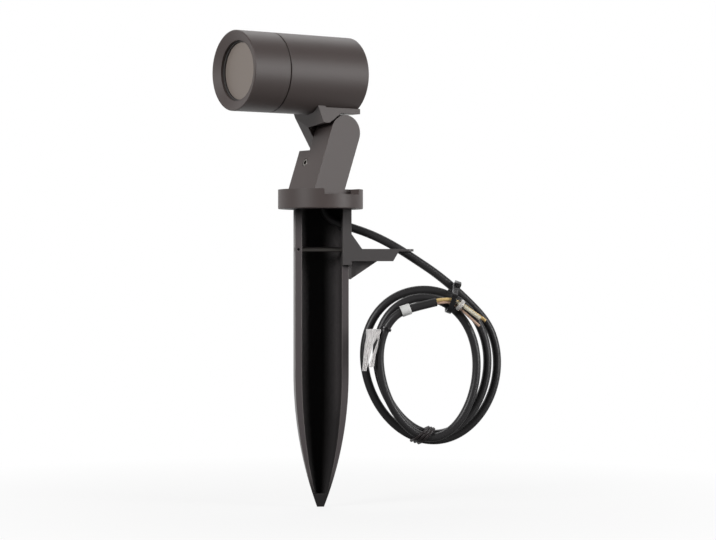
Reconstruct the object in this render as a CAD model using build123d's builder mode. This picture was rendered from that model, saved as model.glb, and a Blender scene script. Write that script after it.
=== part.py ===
from build123d import *
import os
from math import acos, atan2, cos, pi, radians, sin, sqrt, tan

# Garden spotlight on a ground spike: a turned lamp head on a lap-jointed leaning arm, a cupped base
# that swivels on a trough-section spike, and a rubber supply cable led over a cable arm to a coil.
# Millimetres. The origin is on the spike's axis at the ground line (the underside of the base cup);
# the spike's trough opens to -Y and the cable arm reaches to +X.

# --- pose as set up -----------------------------------------------------------------------------------
pan_angle = -61.4           # base turned on the spike: the beam points to -X and -Y
lean_angle = 19.0           # arm leans back from the vertical

# --- lamp head ----------------------------------------------------------------------------------------
lamp_diameter = 50.0        # the lamp that the head is built around
lamp_room = 1.3
front_bore = lamp_diameter + 2 * lamp_room
glass_seat = 1.7            # glass over the housing's edge
glass_lip = 3.7             # ring's lip over the glass
ring_body = 4.5             # ring around the glass
glass_diameter = front_bore + 2 * glass_seat
opening_diameter = glass_diameter - 2 * glass_lip
head_diameter = glass_diameter + 2 * ring_body
head_length = 111.0
ring_length = 34.1          # screwed front ring
front_reach = 84.8          # front of the head to the spike's axis
pivot_drop = 14.8           # tilt pivot below the housing
head_rise = head_diameter / 2 + pivot_drop
edge_round = 0.7
dish_depth = 3.4            # front face slopes in to the opening
lip_thickness = 2.5
gasket_thickness = 1.5
gasket_lip = 1.1            # gasket inside the ring's opening
gasket_bore = opening_diameter - 2 * gasket_lip
glass_thickness = 5.0
seal_thickness = 1.4
seat_clearance = 0.15       # loose seats of the glass and the seals
thread_clearance = 0.2      # screwed and turned fits
ring_wall = 3.1
seam_gap = 0.5
bore_ledge = 4.0            # behind the lamp
rear_bore = lamp_diameter - 2 * bore_ledge
bore_step = 68.0            # station of the step between the two bores
rear_wall = 6.0
tapped_floor = 2.0          # wall left under a tapped hole

# --- lamp and its holder ------------------------------------------------------------------------------
lamp_gap = 3.0              # lamp front behind the seal
lamp_length = 46.0
lamp_neck_diameter = 26.0
bowl_station_share = 0.45   # of the lamp's length, where the bowl's curve passes
bowl_width_share = 0.4      # of the lamp's diameter, there
lamp_neck_length = 15.0
lens_rim = 2.5
lens_diameter = lamp_diameter - 2 * lens_rim
lens_thickness = 2.0
pin_spacing = 10.0
pin_diameter = 3.0
pin_head_diameter = 5.0
pin_length = 7.0
holder_diameter = 30.0
holder_length = 13.0
strap_width = 12.0
strap_thickness = 1.5
strap_margin = 5.5          # strap screws inside the rear bore
strap_span = rear_bore - 2 * strap_margin
holder_span = 14.0
screw_m3 = 3.0
screw_m3_head_diameter = 5.4
screw_m3_head = 1.8
screw_m4 = 4.0

# --- foot and tilt pivot ------------------------------------------------------------------------------
foot_width = 38.4
saddle_depth = 5.1          # flat on the housing, inside its outline
foot_seat = head_diameter / 2 - saddle_depth
foot_rear = 26.4
foot_front_top = -17.1
foot_screw_place = (8.5, 17.3)
foot_screw_spacing = 9.0
foot_screw_head = 1.6       # thickness, sunk in the rear flange
foot_screw_head_diameter = 6.4
foot_heel = 4.3             # thickness of the rear flange
toe_above = 4.6             # lowest point of the toe above the pivot
foot_toe = -8.7
toe_rise = 2.8              # the toe's near corner above its middle
crease_height = 75.5        # the lug's front parts from the foot's front here, on the far side
foot_saddle_end = -8.0      # the housing's flat starts here
relief_sag = 0.2            # swell of the relief towards the ear
relief_start = 7.0
lug_radius = 14.4
lug_rear = 23.5
bevel_offset = 0.9          # slant of the lug's front face over its thickness
pivot_height = 62.6         # above the ground line
pivot_setback = 12.0        # behind the spike's axis
ear_radius = 14.3
lap_offset = -4.2           # inner face of the ear, across from the arm's middle
pivot_washer_thickness = 1.0
pivot_washer_diameter = 24.0
bolt_diameter = 8.0
bolt_head_diameter = 13.0
bolt_head_height = 8.0
bolt_recess = 5.0
bolt_hexagon = 3.2          # middle to corner of the recess in its head
bolt_depth = 13.0           # thread length in the ear
running_gap = 0.05          # radial, pivot bolt in the lug

# --- arm and base cup ---------------------------------------------------------------------------------
arm_width = 38.4
step_depth = 19.8           # lap shoulder below the pivot, along the arm
base_diameter = 70.0
base_height = 16.0
base_wall = 5.0
base_top = 6.0
base_edge = 0.8
notch_width = 34.0
notch_depth = 4.5
arm_screw_diameter = 7.0
arm_screw_length = 9.0
arm_screw_edge = 0.7
arm_screw_hexagon = 1.96    # middle to corner of its recess
arm_screw_below = 30.5      # along the arm from the pivot
arm_screw_side = -5.7
grub_diameter = 5.0
grub_bearings = [50.0, 130.0]
grub_height = 5.5           # above the ground line
groove_depth = 1.2
swivel_clearance = 0.3

# --- spike --------------------------------------------------------------------------------------------
spike_length = 245.0
spike_straight = 135.0
spike_width = 44.0
spike_depth = 26.0
spike_front = -12.0         # front faces of the flanges
spike_back_round = 10.0
spike_tip_half = 2.6
ogive_radius = 325.0
ogive_sections = 5
flange_width = 5.5
trough_depth = 22.0
trough_round = 12.0
trough_end_half = 6.5       # the trough stops where the spike is this narrow
cable_way = 20.0            # opening down the middle of the plug
cross_pin_diameter = 4.0
pin_end_inset = 1.0         # its end inside the left side
cross_pin_height = -33.3
cross_pin_inset = 4.0       # behind the flanges' front faces
cable_hole = 10.0
flange_hole = 2.4
flange_hole_depth = 1.4

# --- cable arm ----------------------------------------------------------------------------------------
plate_thickness = 3.0
side_plate = 2.0
side_plate_depth = 7.0
root_overlap = 5.2          # front plate over the spike's flange
root_drop = 46.0
brace_top = -20.6
brace_run = 8.7
bar_top = -32.8
bar_height = 10.1
bar_reach = 64.3
bar_slant = 5.9
shelf_thickness = 2.0
shelf_depth = 19.0
shelf_reach = 62.0
web_thickness = 2.5
web_setback = 4.0
web_reach = 46.0
web_drop = 57.7
eye_wall = 1.6
eye_clearance = 0.35

# --- cable --------------------------------------------------------------------------------------------
cable_diameter = 7.0
cable_bore_clearance = 0.7
cable_turn_height = 30.0    # where the cable leaves the arm's lean for the vertical
cable_top_run = 12.6
cable_split = 17.6          # lower end of the piece inside the arm
lead_runs = [(0.0, 2.0), (9.4, -10.5), (37.0, -18.4), (58.7, -28.6), (80.0, -42.0)]
lead_last_run = 27.0

# --- coil ---------------------------------------------------------------------------------------------
coil_turns = 2.86
coil_start_angle = 50.0
coil_center_x = 87.0
coil_center_z = -128.6
coil_half_width = 61.6
coil_half_height = 66.7
coil_width_loss = 13.9       # per turn
coil_width_gain = 1.76       # with the square of the turns
coil_height_loss = 8.7       # per turn
coil_height_gain = 1.67      # with the square of the turns
coil_pitch = 7.8             # towards the front, per turn
coil_drift_x = 5.0           # per turn
coil_return_x = 2.25         # with the square of the turns
coil_drift_z = 4.2           # per turn
coil_return_z = 2.35         # with the square of the turns
coil_lean = 8.4              # far side pulled over, out at the top and in at the bottom
coil_tail = 22.0
quarter = 0.25

# --- on the coil --------------------------------------------------------------------------------------
core_diameter = 2.4
core_places = [(1.5, -0.8), (-1.5, -0.8), (0.0, 1.8)]  # up and back, from the sheath's middle
core_straight = 4.0
core_elbow = (108.5, -75.5)
core_bend = 6.0
core_runs = [33.0, 29.0, 31.0]
core_fall = 39.0            # slope of the cores, down to the right
tie_place = (107.7, -72.5)
tie_fall = 20.0
upper_tie_turn = 0.955
lead_at_tie = 0.9           # part of the lead's length
lower_tie_turn = 0.413
tie_band = 1.2
tie_clearance = 0.9
upper_tie_width = 3.6
lower_wraps = 3
lower_tie_pitch = 2.3
lower_tie_width = 1.84
tie_head = 6.0
tie_head_height = 4.5
sleeve_wall = 0.5
sleeve_slack = 0.6
marker_length = 8.0
marker_turn = 2.845
wrap_length = 3.5
wrap_place = 3.6            # past the cores' elbow
wrap_slack = 0.5
wrap_wall = 1.4
tag_turn = 2.757
tag_leaves = [
    [(-17.5, 0.0), (0.0, 0.0), (0.0, -2.6), (-8.2, -2.6), (-16.7, -34.2), (-20.4, -33.0)],
    [(-7.2, 0.0), (-4.4, 0.0), (-6.0, -10.6), (-10.2, -31.0), (-15.0, -28.5), (-8.5, -10.6)],
]
tag_collar = 7.0
tag_thickness = 0.5

# --- derived places -----------------------------------------------------------------------------------
axis_height = pivot_height + head_rise
head_radius = head_diameter / 2
cable_radius = cable_diameter / 2
arm_depth = 2 * ear_radius
half_foot = foot_width / 2
spike_half = spike_width / 2
lead_points = [Vector(x, 0, z) for x, z in lead_runs]
lead_out = (lead_points[2] - lead_points[1]).normalized()
flank_middle = spike_half - flange_width / 2
cable_hole_height = lead_points[1].Z + lead_out.Z * (flank_middle - lead_points[1].X) / lead_out.X
cross_pin_back = spike_front + cross_pin_inset
across = Vector(cos(radians(pan_angle)), sin(radians(pan_angle)), 0)
rear = Vector(-sin(radians(pan_angle)), cos(radians(pan_angle)), 0)
up = Vector(0, 0, 1)


def head_point(side, back, height):
    """Point of the head's own frame (across, to the rear, up) in the part's frame."""
    return across * side + rear * back + up * height


def side_plane(side=0.0):
    """Upright plane along the head: sketches take (rearwards, height)."""
    return Plane(origin=head_point(side, 0, 0), x_dir=rear, z_dir=across)


# Plane whose origin is the middle of the front face: sketches take (station, radius).
beam = Plane(origin=head_point(0, -front_reach, axis_height), x_dir=rear, z_dir=across)
beam_axis = Axis(beam.origin, rear)


def cross_plane(side, back, height):
    """Plane square to the spike's width: sketches take (rearwards, height)."""
    return Plane(origin=(side, back, height), x_dir=(0, 1, 0), z_dir=(1, 0, 0))


def beam_section(station):
    """Plane square to the beam at a station behind the front face."""
    return Plane(origin=beam.origin + rear * station, x_dir=across, z_dir=rear)


def corner_radii(points):
    """Largest arcs that the runs of a cable allow at each of its inner points."""
    radii = []
    for before, corner, after in zip(points, points[1:], points[2:]):
        run_in = corner - before
        run_out = after - corner
        half_turn = radians(run_in.get_angle(run_out)) / 2
        radii.append(0.45 * min(run_in.length, run_out.length) / tan(half_turn))
    return radii


# Stations along the head, from the front face.
lip_back = dish_depth + lip_thickness
glass_front = lip_back + gasket_thickness
glass_back = glass_front + glass_thickness
spigot_front = glass_back + seal_thickness
body_front = ring_length + seam_gap
lamp_front = spigot_front + lamp_gap
spigot_radius = head_radius - ring_wall
glass_radius = glass_diameter / 2
pocket_radius = glass_radius + seat_clearance

# --- front ring: dished face, glass pocket, threaded skirt over the housing's spigot ------------------
with BuildPart() as front_ring:
    with BuildSketch(beam):
        with BuildLine():
            Polyline(
                (dish_depth, opening_diameter / 2),
                (0, head_radius - edge_round),
                (edge_round, head_radius),
                (ring_length - seam_gap, head_radius),
                (ring_length, head_radius - seam_gap),
                (ring_length, spigot_radius + thread_clearance),
                (spigot_front, spigot_radius + thread_clearance),
                (spigot_front, pocket_radius),
                (lip_back, pocket_radius),
                (lip_back, opening_diameter / 2),
                close=True,
            )
        make_face()
    revolve(axis=beam_axis)
front_ring.part.label = "front_ring"

# --- gasket, glass and face seal stacked in the ring --------------------------------------------------
with BuildPart() as glass_gasket:
    with BuildSketch(beam_section(lip_back)):
        Circle(glass_radius)
        Circle(gasket_bore / 2, mode=Mode.SUBTRACT)
    extrude(amount=gasket_thickness)
glass_gasket.part.label = "glass_gasket"

with BuildPart() as front_glass:
    with BuildSketch(beam_section(glass_front)):
        Circle(glass_radius)
    extrude(amount=glass_thickness)
    chamfer(front_glass.edges().filter_by(GeomType.CIRCLE), seat_clearance * 3)
front_glass.part.label = "front_glass"

with BuildPart() as housing_seal:
    with BuildSketch(beam_section(glass_back)):
        Circle(glass_radius)
        Circle(front_bore / 2, mode=Mode.SUBTRACT)
    extrude(amount=seal_thickness)
housing_seal.part.label = "housing_seal"

# --- housing: spigot, stepped bore, closed rear, flat underneath for the foot -------------------------
with BuildPart() as head_housing:
    with BuildSketch(beam):
        with BuildLine():
            Polyline(
                (spigot_front, front_bore / 2),
                (spigot_front, spigot_radius),
                (body_front, spigot_radius),
                (body_front, head_radius - seam_gap),
                (body_front + seam_gap, head_radius),
                (head_length - edge_round, head_radius),
                (head_length, head_radius - edge_round),
                (head_length, 0),
                (head_length - rear_wall, 0),
                (head_length - rear_wall, rear_bore / 2),
                (bore_step, rear_bore / 2),
                (bore_step, front_bore / 2),
                close=True,
            )
        make_face()
    revolve(axis=beam_axis)
    with BuildSketch(side_plane()) as flat:
        with Locations((foot_saddle_end, axis_height - foot_seat)):
            Rectangle(head_length, head_radius, align=(Align.MIN, Align.MAX))
    extrude(amount=head_radius, both=True, mode=Mode.SUBTRACT)
    # tapped holes for the foot and for the strap inside
    foot_face = head_point(*foot_screw_place, axis_height - foot_seat)
    with BuildSketch(Plane(origin=foot_face, x_dir=across, z_dir=up)):
        with GridLocations(1, foot_screw_spacing, 1, 2):
            Circle(screw_m4 / 2)
    extrude(amount=screw_m4, mode=Mode.SUBTRACT)
    with BuildSketch(beam_section(head_length - rear_wall)):
        with GridLocations(strap_span, 1, 2, 1):
            Circle(screw_m3 / 2)
    extrude(amount=rear_wall - tapped_floor, mode=Mode.SUBTRACT)
head_housing.part.label = "head_housing"

# --- lamp: reflector body, front lens and two studs, twisted into its holder --------------------------
neck_start = lamp_front + lamp_length - lamp_neck_length
lamp_back = lamp_front + lamp_length
with BuildPart() as lamp:
    with BuildSketch(beam):
        with BuildLine() as outline:
            rim = Line((lamp_front, lens_diameter / 2), (lamp_front, lamp_diameter / 2))
            band = Line(rim @ 1, (lamp_front + lens_thickness, lamp_diameter / 2))
            bowl = ThreePointArc(
                band @ 1,
                (lamp_front + lamp_length * bowl_station_share, lamp_diameter * bowl_width_share),
                (neck_start, lamp_neck_diameter / 2),
            )
            Polyline(
                bowl @ 1,
                (lamp_back, lamp_neck_diameter / 2),
                (lamp_back, 0),
                (lamp_front + lens_thickness, 0),
                (lamp_front + lens_thickness, lens_diameter / 2),
                rim @ 0,
            )
        make_face()
    revolve(axis=beam_axis)
lamp.part.label = "lamp"

with BuildPart() as lamp_lens:
    with BuildSketch(beam_section(lamp_front)):
        Circle(lens_diameter / 2)
    extrude(amount=lens_thickness)
lamp_lens.part.label = "lamp_lens"

with BuildPart() as lamp_pins:
    with BuildSketch(beam_section(lamp_back)):
        with GridLocations(1, pin_spacing, 1, 2):
            Circle(pin_diameter / 2)
    extrude(amount=pin_length)
    with BuildSketch(beam_section(lamp_back + pin_length)):
        with GridLocations(1, pin_spacing, 1, 2):
            Circle(pin_head_diameter / 2)
    extrude(amount=-pin_length / 3)
lamp_pins.part.label = "lamp_pins"

holder_back = lamp_back + holder_length
with BuildPart() as lamp_holder:
    with BuildSketch(beam_section(lamp_back)):
        Circle(holder_diameter / 2)
        with GridLocations(1, pin_spacing, 1, 2):
            Circle(pin_head_diameter / 2 + seat_clearance, mode=Mode.SUBTRACT)
    extrude(amount=holder_length)
    with BuildSketch(beam_section(holder_back)):
        with GridLocations(holder_span, 1, 2, 1):
            Circle(screw_m3 / 2)
    extrude(amount=-holder_length / 2, mode=Mode.SUBTRACT)
lamp_holder.part.label = "lamp_holder"

# Bent strap that carries the holder off the rear wall.
strap_back = head_length - rear_wall
strap_half = strap_span / 2
foot_reach = strap_width / 3
with BuildPart() as holder_strap:
    with BuildSketch(Plane(origin=beam.origin, x_dir=rear, z_dir=-up)):
        with BuildLine():
            Polyline(
                (strap_back, strap_half + foot_reach),
                (strap_back - strap_thickness, strap_half + foot_reach),
                (strap_back - strap_thickness, strap_half - foot_reach),
                (holder_back, strap_half - foot_reach),
                (holder_back, foot_reach - strap_half),
                (strap_back - strap_thickness, foot_reach - strap_half),
                (strap_back - strap_thickness, -strap_half - foot_reach),
                (strap_back, -strap_half - foot_reach),
                (strap_back, foot_reach - strap_half + strap_thickness),
                (holder_back + strap_thickness, foot_reach - strap_half + strap_thickness),
                (holder_back + strap_thickness, strap_half - foot_reach - strap_thickness),
                (strap_back, strap_half - foot_reach - strap_thickness),
                close=True,
            )
        make_face()
    extrude(amount=strap_width / 2, both=True)
    for plane, spacing in (
        (beam_section(strap_back - strap_thickness), strap_span),
        (beam_section(holder_back), holder_span),
    ):
        with BuildSketch(plane):
            with GridLocations(spacing, 1, 2, 1):
                Circle(screw_m3 / 2 + seat_clearance)
        extrude(amount=strap_thickness, mode=Mode.SUBTRACT)
holder_strap.part.label = "holder_strap"

with BuildPart() as holder_screws:
    for seat, spacing, toward in (
        (holder_back + strap_thickness, holder_span, -1),
        (strap_back - strap_thickness, strap_span, 1),
    ):
        with BuildSketch(beam_section(seat)):
            with GridLocations(spacing, 1, 2, 1):
                Circle(screw_m3 / 2)
        extrude(amount=toward * (strap_thickness + screw_m3))
        with BuildSketch(beam_section(seat)):
            with GridLocations(spacing, 1, 2, 1):
                Circle(screw_m3_head_diameter / 2)
        extrude(amount=-toward * screw_m3_head)
holder_screws.part.label = "holder_screws"

# --- foot: saddle under the housing, toe relieved over the ear, lug for the pivot ---------------------
seat_height = axis_height - foot_seat
heel_height = seat_height - foot_heel
foot_screw_plane = Plane(origin=head_point(*foot_screw_place, heel_height), x_dir=across, z_dir=up)
toe_height = pivot_height + toe_above
pivot = (pivot_setback, pivot_height)
toe = (foot_toe, toe_height)
# The lug's front runs from the toe, tangent to its round end.
lug_round = lug_radius + bevel_offset
toe_reach = sqrt((toe[0] - pivot[0]) ** 2 + (toe[1] - pivot[1]) ** 2)
touch_bearing = atan2(toe[1] - pivot[1], toe[0] - pivot[0]) + acos(lug_round / toe_reach)
lug_touch = (pivot[0] + lug_round * cos(touch_bearing), pivot[1] + lug_round * sin(touch_bearing))
toe_lean = (foot_toe - foot_front_top) / (seat_height + foot_heel - toe_height)
brow = (foot_toe - toe_lean * (crease_height - toe_height), crease_height)
lug_inner = lap_offset - pivot_washer_thickness

with BuildPart() as head_foot:
    with BuildSketch(side_plane(-half_foot)):
        with BuildLine():
            toe_line = Line((foot_front_top, seat_height + foot_heel), toe)
            relief = ThreePointArc(
                toe_line @ 1,
                ((foot_toe + relief_start) / 2 + relief_sag, (toe_height + heel_height) / 2 - relief_sag),
                (relief_start, heel_height),
            )
            Polyline(
                relief @ 1,
                (foot_rear, heel_height),
                (foot_rear, seat_height),
                (foot_saddle_end, seat_height),
                (foot_saddle_end, seat_height + foot_heel),
                toe_line @ 0,
            )
        make_face()
    extrude(amount=foot_width)
    with BuildSketch(side_plane(-half_foot)):
        with BuildLine():
            Polyline(
                brow,
                toe,
                lug_touch,
                pivot,
                (lug_rear, pivot_height),
                (lug_rear, heel_height),
                close=True,
            )
        make_face()
        with Locations(pivot):
            Circle(lug_round)
    extrude(amount=lug_inner + half_foot)
    # the toe's lower edge rises towards the near side
    toe_drop = axis_height - toe_height
    with BuildSketch(beam_section(front_reach + foot_front_top)):
        with BuildLine():
            Polyline(
                (lug_inner, toe_drop),
                (half_foot, toe_drop - toe_rise),
                (half_foot, toe_drop * 2),
                (lug_inner, toe_drop * 2),
                close=True,
            )
        make_face()
    extrude(amount=relief_start - foot_front_top, mode=Mode.SUBTRACT)
    # slanted front of the lug
    slant_down = head_point(0, lug_touch[0] - toe[0], lug_touch[1] - toe[1])
    slant_across = head_point(lug_inner + half_foot, toe[0] - brow[0], toe[1] - brow[1])
    slant_normal = slant_down.cross(slant_across)
    split(
        bisect_by=Plane(origin=head_point(-half_foot, *brow), x_dir=slant_down, z_dir=slant_normal),
        keep=Keep.BOTTOM,
    )
    # round saddle ahead of the flat
    with BuildSketch(beam_section(0)):
        Circle(head_radius)
    extrude(amount=front_reach + foot_saddle_end, mode=Mode.SUBTRACT)
    # pivot bore and the recess for the bolt's head
    with BuildSketch(side_plane(-half_foot)):
        with Locations(pivot):
            Circle(bolt_diameter / 2 + running_gap)
    extrude(amount=foot_width, mode=Mode.SUBTRACT)
    with BuildSketch(side_plane(-half_foot)):
        with Locations(pivot):
            Circle(bolt_head_diameter / 2 + thread_clearance * 2)
    extrude(amount=bolt_recess, mode=Mode.SUBTRACT)
    with BuildSketch(foot_screw_plane):
        with GridLocations(1, foot_screw_spacing, 1, 2):
            Circle(screw_m4 / 2 + seat_clearance)
    extrude(amount=foot_heel, mode=Mode.SUBTRACT)
    with BuildSketch(foot_screw_plane):
        with GridLocations(1, foot_screw_spacing, 1, 2):
            Circle(foot_screw_head_diameter / 2 + seat_clearance)
    extrude(amount=foot_screw_head, mode=Mode.SUBTRACT)
head_foot.part.label = "head_foot"

with BuildPart() as foot_screws:
    with BuildSketch(foot_screw_plane):
        with GridLocations(1, foot_screw_spacing, 1, 2):
            Circle(screw_m4 / 2)
    extrude(amount=foot_heel + screw_m4)
    with BuildSketch(foot_screw_plane):
        with GridLocations(1, foot_screw_spacing, 1, 2):
            Circle(foot_screw_head_diameter / 2)
    extrude(amount=foot_screw_head)
foot_screws.part.label = "foot_screws"

# --- pivot: shoulder bolt from the lug's side into the ear, washer between ----------------------------
with BuildPart() as pivot_bolt:
    with BuildSketch(side_plane(-half_foot + bolt_recess)):
        with Locations(pivot):
            Circle(bolt_diameter / 2)
    extrude(amount=half_foot - bolt_recess + lap_offset + bolt_depth)
    with BuildSketch(side_plane(-half_foot + bolt_recess)):
        with Locations(pivot):
            Circle(bolt_head_diameter / 2)
            RegularPolygon(bolt_hexagon, 6, mode=Mode.SUBTRACT)
    extrude(amount=-bolt_head_height)
pivot_bolt.part.label = "pivot_bolt"

with BuildPart() as pivot_washer:
    with BuildSketch(side_plane(lug_inner)):
        with Locations(pivot):
            Circle(pivot_washer_diameter / 2)
            Circle(bolt_diameter / 2 + seat_clearance, mode=Mode.SUBTRACT)
    extrude(amount=pivot_washer_thickness)
pivot_washer.part.label = "pivot_washer"

# --- arm and base cup, one casting --------------------------------------------------------------------
base_radius = base_diameter / 2
cup_height = base_height - base_top
arm_run = (pivot_height - base_height) / cos(radians(lean_angle)) + arm_depth
cable_bore = cable_diameter + 2 * cable_bore_clearance
cable_bend = head_point(0, 0, cable_turn_height)
lean_up = head_point(0, sin(radians(lean_angle)), cos(radians(lean_angle)))
lean_sine = sin(radians(lean_angle))
lean_cosine = cos(radians(lean_angle))
lap_shoulder = (pivot[0] - step_depth * lean_sine, pivot[1] - step_depth * lean_cosine)
arm_face = Plane(
    origin=head_point(0, *pivot) - lean_up * arm_screw_below
    + head_point(arm_screw_side, -ear_radius * lean_cosine, ear_radius * lean_sine),
    x_dir=across,
    z_dir=head_point(0, -lean_cosine, lean_sine),
)
grub_ways = [Vector(cos(radians(bearing)), sin(radians(bearing)), 0) for bearing in grub_bearings]
grub_planes = [
    Plane(origin=way * (base_radius - base_wall) + up * grub_height, z_dir=way) for way in grub_ways
]

with BuildPart() as bracket:
    with BuildSketch(side_plane(-arm_width / 2)):
        with Locations(pivot):
            Circle(ear_radius)
            Rectangle(arm_depth, arm_run, rotation=-lean_angle, align=(Align.CENTER, Align.MAX))
    extrude(amount=arm_width)
    split(bisect_by=Plane.XY.offset(base_height), keep=Keep.TOP)
    with BuildSketch(Plane.XY):
        Circle(base_radius)
    extrude(amount=base_height)
    fillet(bracket.edges().filter_by(GeomType.CIRCLE).sort_by(Axis.Z)[0], base_edge)
    # far half cut away above the lap shoulder
    with BuildSketch(side_plane(-arm_width)):
        with Locations(lap_shoulder):
            Rectangle(
                arm_depth * 2,
                step_depth + arm_depth,
                rotation=-lean_angle,
                align=(Align.CENTER, Align.MIN),
            )
    extrude(amount=arm_width + lap_offset, mode=Mode.SUBTRACT)
    # hollow of the cup
    with BuildSketch(Plane.XY):
        Circle(base_radius - base_wall)
    extrude(amount=cup_height, mode=Mode.SUBTRACT)
    # notch in the rim beside the ear
    with BuildSketch(Plane(origin=head_point(0, 0, base_height), x_dir=across, z_dir=up)):
        with Locations((arm_width / 2, 0)):
            Rectangle(base_radius, notch_width, align=(Align.MIN, Align.CENTER))
    extrude(amount=-notch_depth, mode=Mode.SUBTRACT)
    # cable way up the middle
    with BuildLine():
        FilletPolyline(
            (0, 0, 0),
            cable_bend,
            cable_bend + lean_up * (cable_top_run + cable_radius),
            radius=cable_turn_height,
        )
    with BuildSketch(Plane.XY):
        Circle(cable_bore / 2)
    sweep(mode=Mode.SUBTRACT)
    # tapped holes: pivot, arm screw, grub screws
    with BuildSketch(side_plane(lap_offset)):
        with Locations(pivot):
            Circle(bolt_diameter / 2)
    extrude(amount=bolt_depth, mode=Mode.SUBTRACT)
    with BuildSketch(arm_face):
        Circle(arm_screw_diameter / 2)
    extrude(amount=-arm_screw_length, mode=Mode.SUBTRACT)
    for plane in grub_planes:
        with BuildSketch(plane.offset(-groove_depth)):
            Circle(grub_diameter / 2)
        extrude(amount=base_wall * 2, mode=Mode.SUBTRACT)
bracket.part.label = "bracket"

with BuildPart() as arm_screw:
    with BuildSketch(arm_face):
        Circle(arm_screw_diameter / 2)
    extrude(amount=-arm_screw_length)
    arm_screw_end = arm_screw.faces().sort_by(Axis(arm_face.origin, arm_face.z_dir))[-1]
    chamfer(arm_screw_end.edges(), arm_screw_edge)
    with BuildSketch(arm_face):
        RegularPolygon(arm_screw_hexagon, 6)
    extrude(amount=-arm_screw_length / 3, mode=Mode.SUBTRACT)
arm_screw.part.label = "arm_screw"

with BuildPart() as grub_screws:
    for plane in grub_planes:
        with BuildSketch(plane.offset(-groove_depth)):
            Circle(grub_diameter / 2)
        extrude(amount=base_wall + groove_depth)
grub_screws.part.label = "grub_screws"

# --- spike: trough section tapering to an ogive, capped by the swivel plug ----------------------------
plug_radius = base_radius - base_wall - swivel_clearance
plug_height = cup_height - swivel_clearance
ogive_length = spike_length - spike_straight


def spike_half_at(drop):
    """Half width of the spike at a depth below the ground line."""
    past = max(0.0, drop - spike_straight)
    return max(spike_tip_half, spike_half - (ogive_radius - sqrt(ogive_radius**2 - past**2)))


def drop_at_half(half):
    """Depth at which the ogive has narrowed to a half width."""
    return spike_straight + sqrt(ogive_radius**2 - (ogive_radius - spike_half + half) ** 2)


def spike_section(drop):
    """Outer section at a depth, scaled with the ogive about the middle of its depth."""
    scale = spike_half_at(drop) / spike_half
    middle = spike_front + spike_depth / 2
    with BuildSketch(Plane.XY.offset(-drop)) as section:
        with Locations((0, middle)):
            body = Rectangle(spike_width * scale, spike_depth * scale)
        fillet(section.vertices().group_by(Axis.Y)[-1], spike_back_round * scale)
    return section


def trough_section(drop):
    """Hollow at a depth, open past the front faces of the flanges."""
    scale = spike_half_at(drop) / spike_half
    middle = spike_front + spike_depth / 2
    front = middle - spike_depth / 2 * scale
    with BuildSketch(Plane.XY.offset(-drop)) as section:
        with Locations((0, front + trough_depth * scale)):
            Rectangle((spike_width - 2 * flange_width) * scale, spike_depth, align=(Align.CENTER, Align.MAX))
        fillet(section.vertices().group_by(Axis.Y)[-1], trough_round * scale)
    return section


with BuildPart() as spike:
    add(spike_section(0).sketch)
    extrude(amount=-spike_straight)
    for step in range(ogive_sections + 1):
        add(spike_section(spike_straight + ogive_length * step / ogive_sections).sketch)
    loft()
    add(trough_section(0).sketch)
    extrude(amount=-spike_straight, mode=Mode.SUBTRACT)
    trough_end = drop_at_half(trough_end_half)
    for step in range(ogive_sections):
        drop = spike_straight + (trough_end - spike_straight) * step / (ogive_sections - 1)
        add(trough_section(drop).sketch)
    loft(mode=Mode.SUBTRACT)
    # plug that the base cup turns on, with its groove
    with BuildSketch(Plane.XY):
        Circle(plug_radius)
    extrude(amount=plug_height)
    with BuildSketch(Plane.XY.offset(grub_height - grub_diameter / 2 - swivel_clearance)):
        Circle(base_radius)
        Circle(base_radius - base_wall - groove_depth - swivel_clearance, mode=Mode.SUBTRACT)
    extrude(amount=grub_diameter + 2 * swivel_clearance, mode=Mode.SUBTRACT)
    # cable way, side hole, cross-pin holes
    with BuildSketch(Plane.XY.offset(plug_height)):
        Circle(cable_way / 2)
    extrude(amount=-plug_height, mode=Mode.SUBTRACT)
    with BuildSketch(cross_plane(spike_half - flange_width * 1.5, 0, cable_hole_height)):
        Circle(cable_hole / 2)
    extrude(amount=flange_width * 2, mode=Mode.SUBTRACT)
    with BuildSketch(cross_plane(-spike_half, cross_pin_back, cross_pin_height)):
        Circle(cross_pin_diameter / 2)
    extrude(amount=spike_width, mode=Mode.SUBTRACT)
    flange_middle = (-spike_half + flange_width / 2, spike_front, cross_pin_height)
    with BuildSketch(Plane(origin=flange_middle, x_dir=(1, 0, 0), z_dir=(0, 1, 0))):
        Circle(flange_hole / 2)
    extrude(amount=flange_hole_depth, mode=Mode.SUBTRACT)
spike.part.label = "spike"

# --- cable arm: root plates over the right flange, bar, shelf, recessed web, eye ----------------------
arm_front = spike_front - plate_thickness
arm_side = spike_half + side_plate
eye_run = (lead_points[4] - lead_points[3]).normalized()
eye_center = lead_points[3] + eye_run * ((lead_points[3].Z - bar_top + shelf_thickness / 2) / -eye_run.Z)
eye_bore = cable_radius + eye_clearance
eye_rise = -eye_run.Z
eye_slot = 2 * eye_bore / eye_rise + shelf_thickness * eye_run.X / eye_rise

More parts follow.
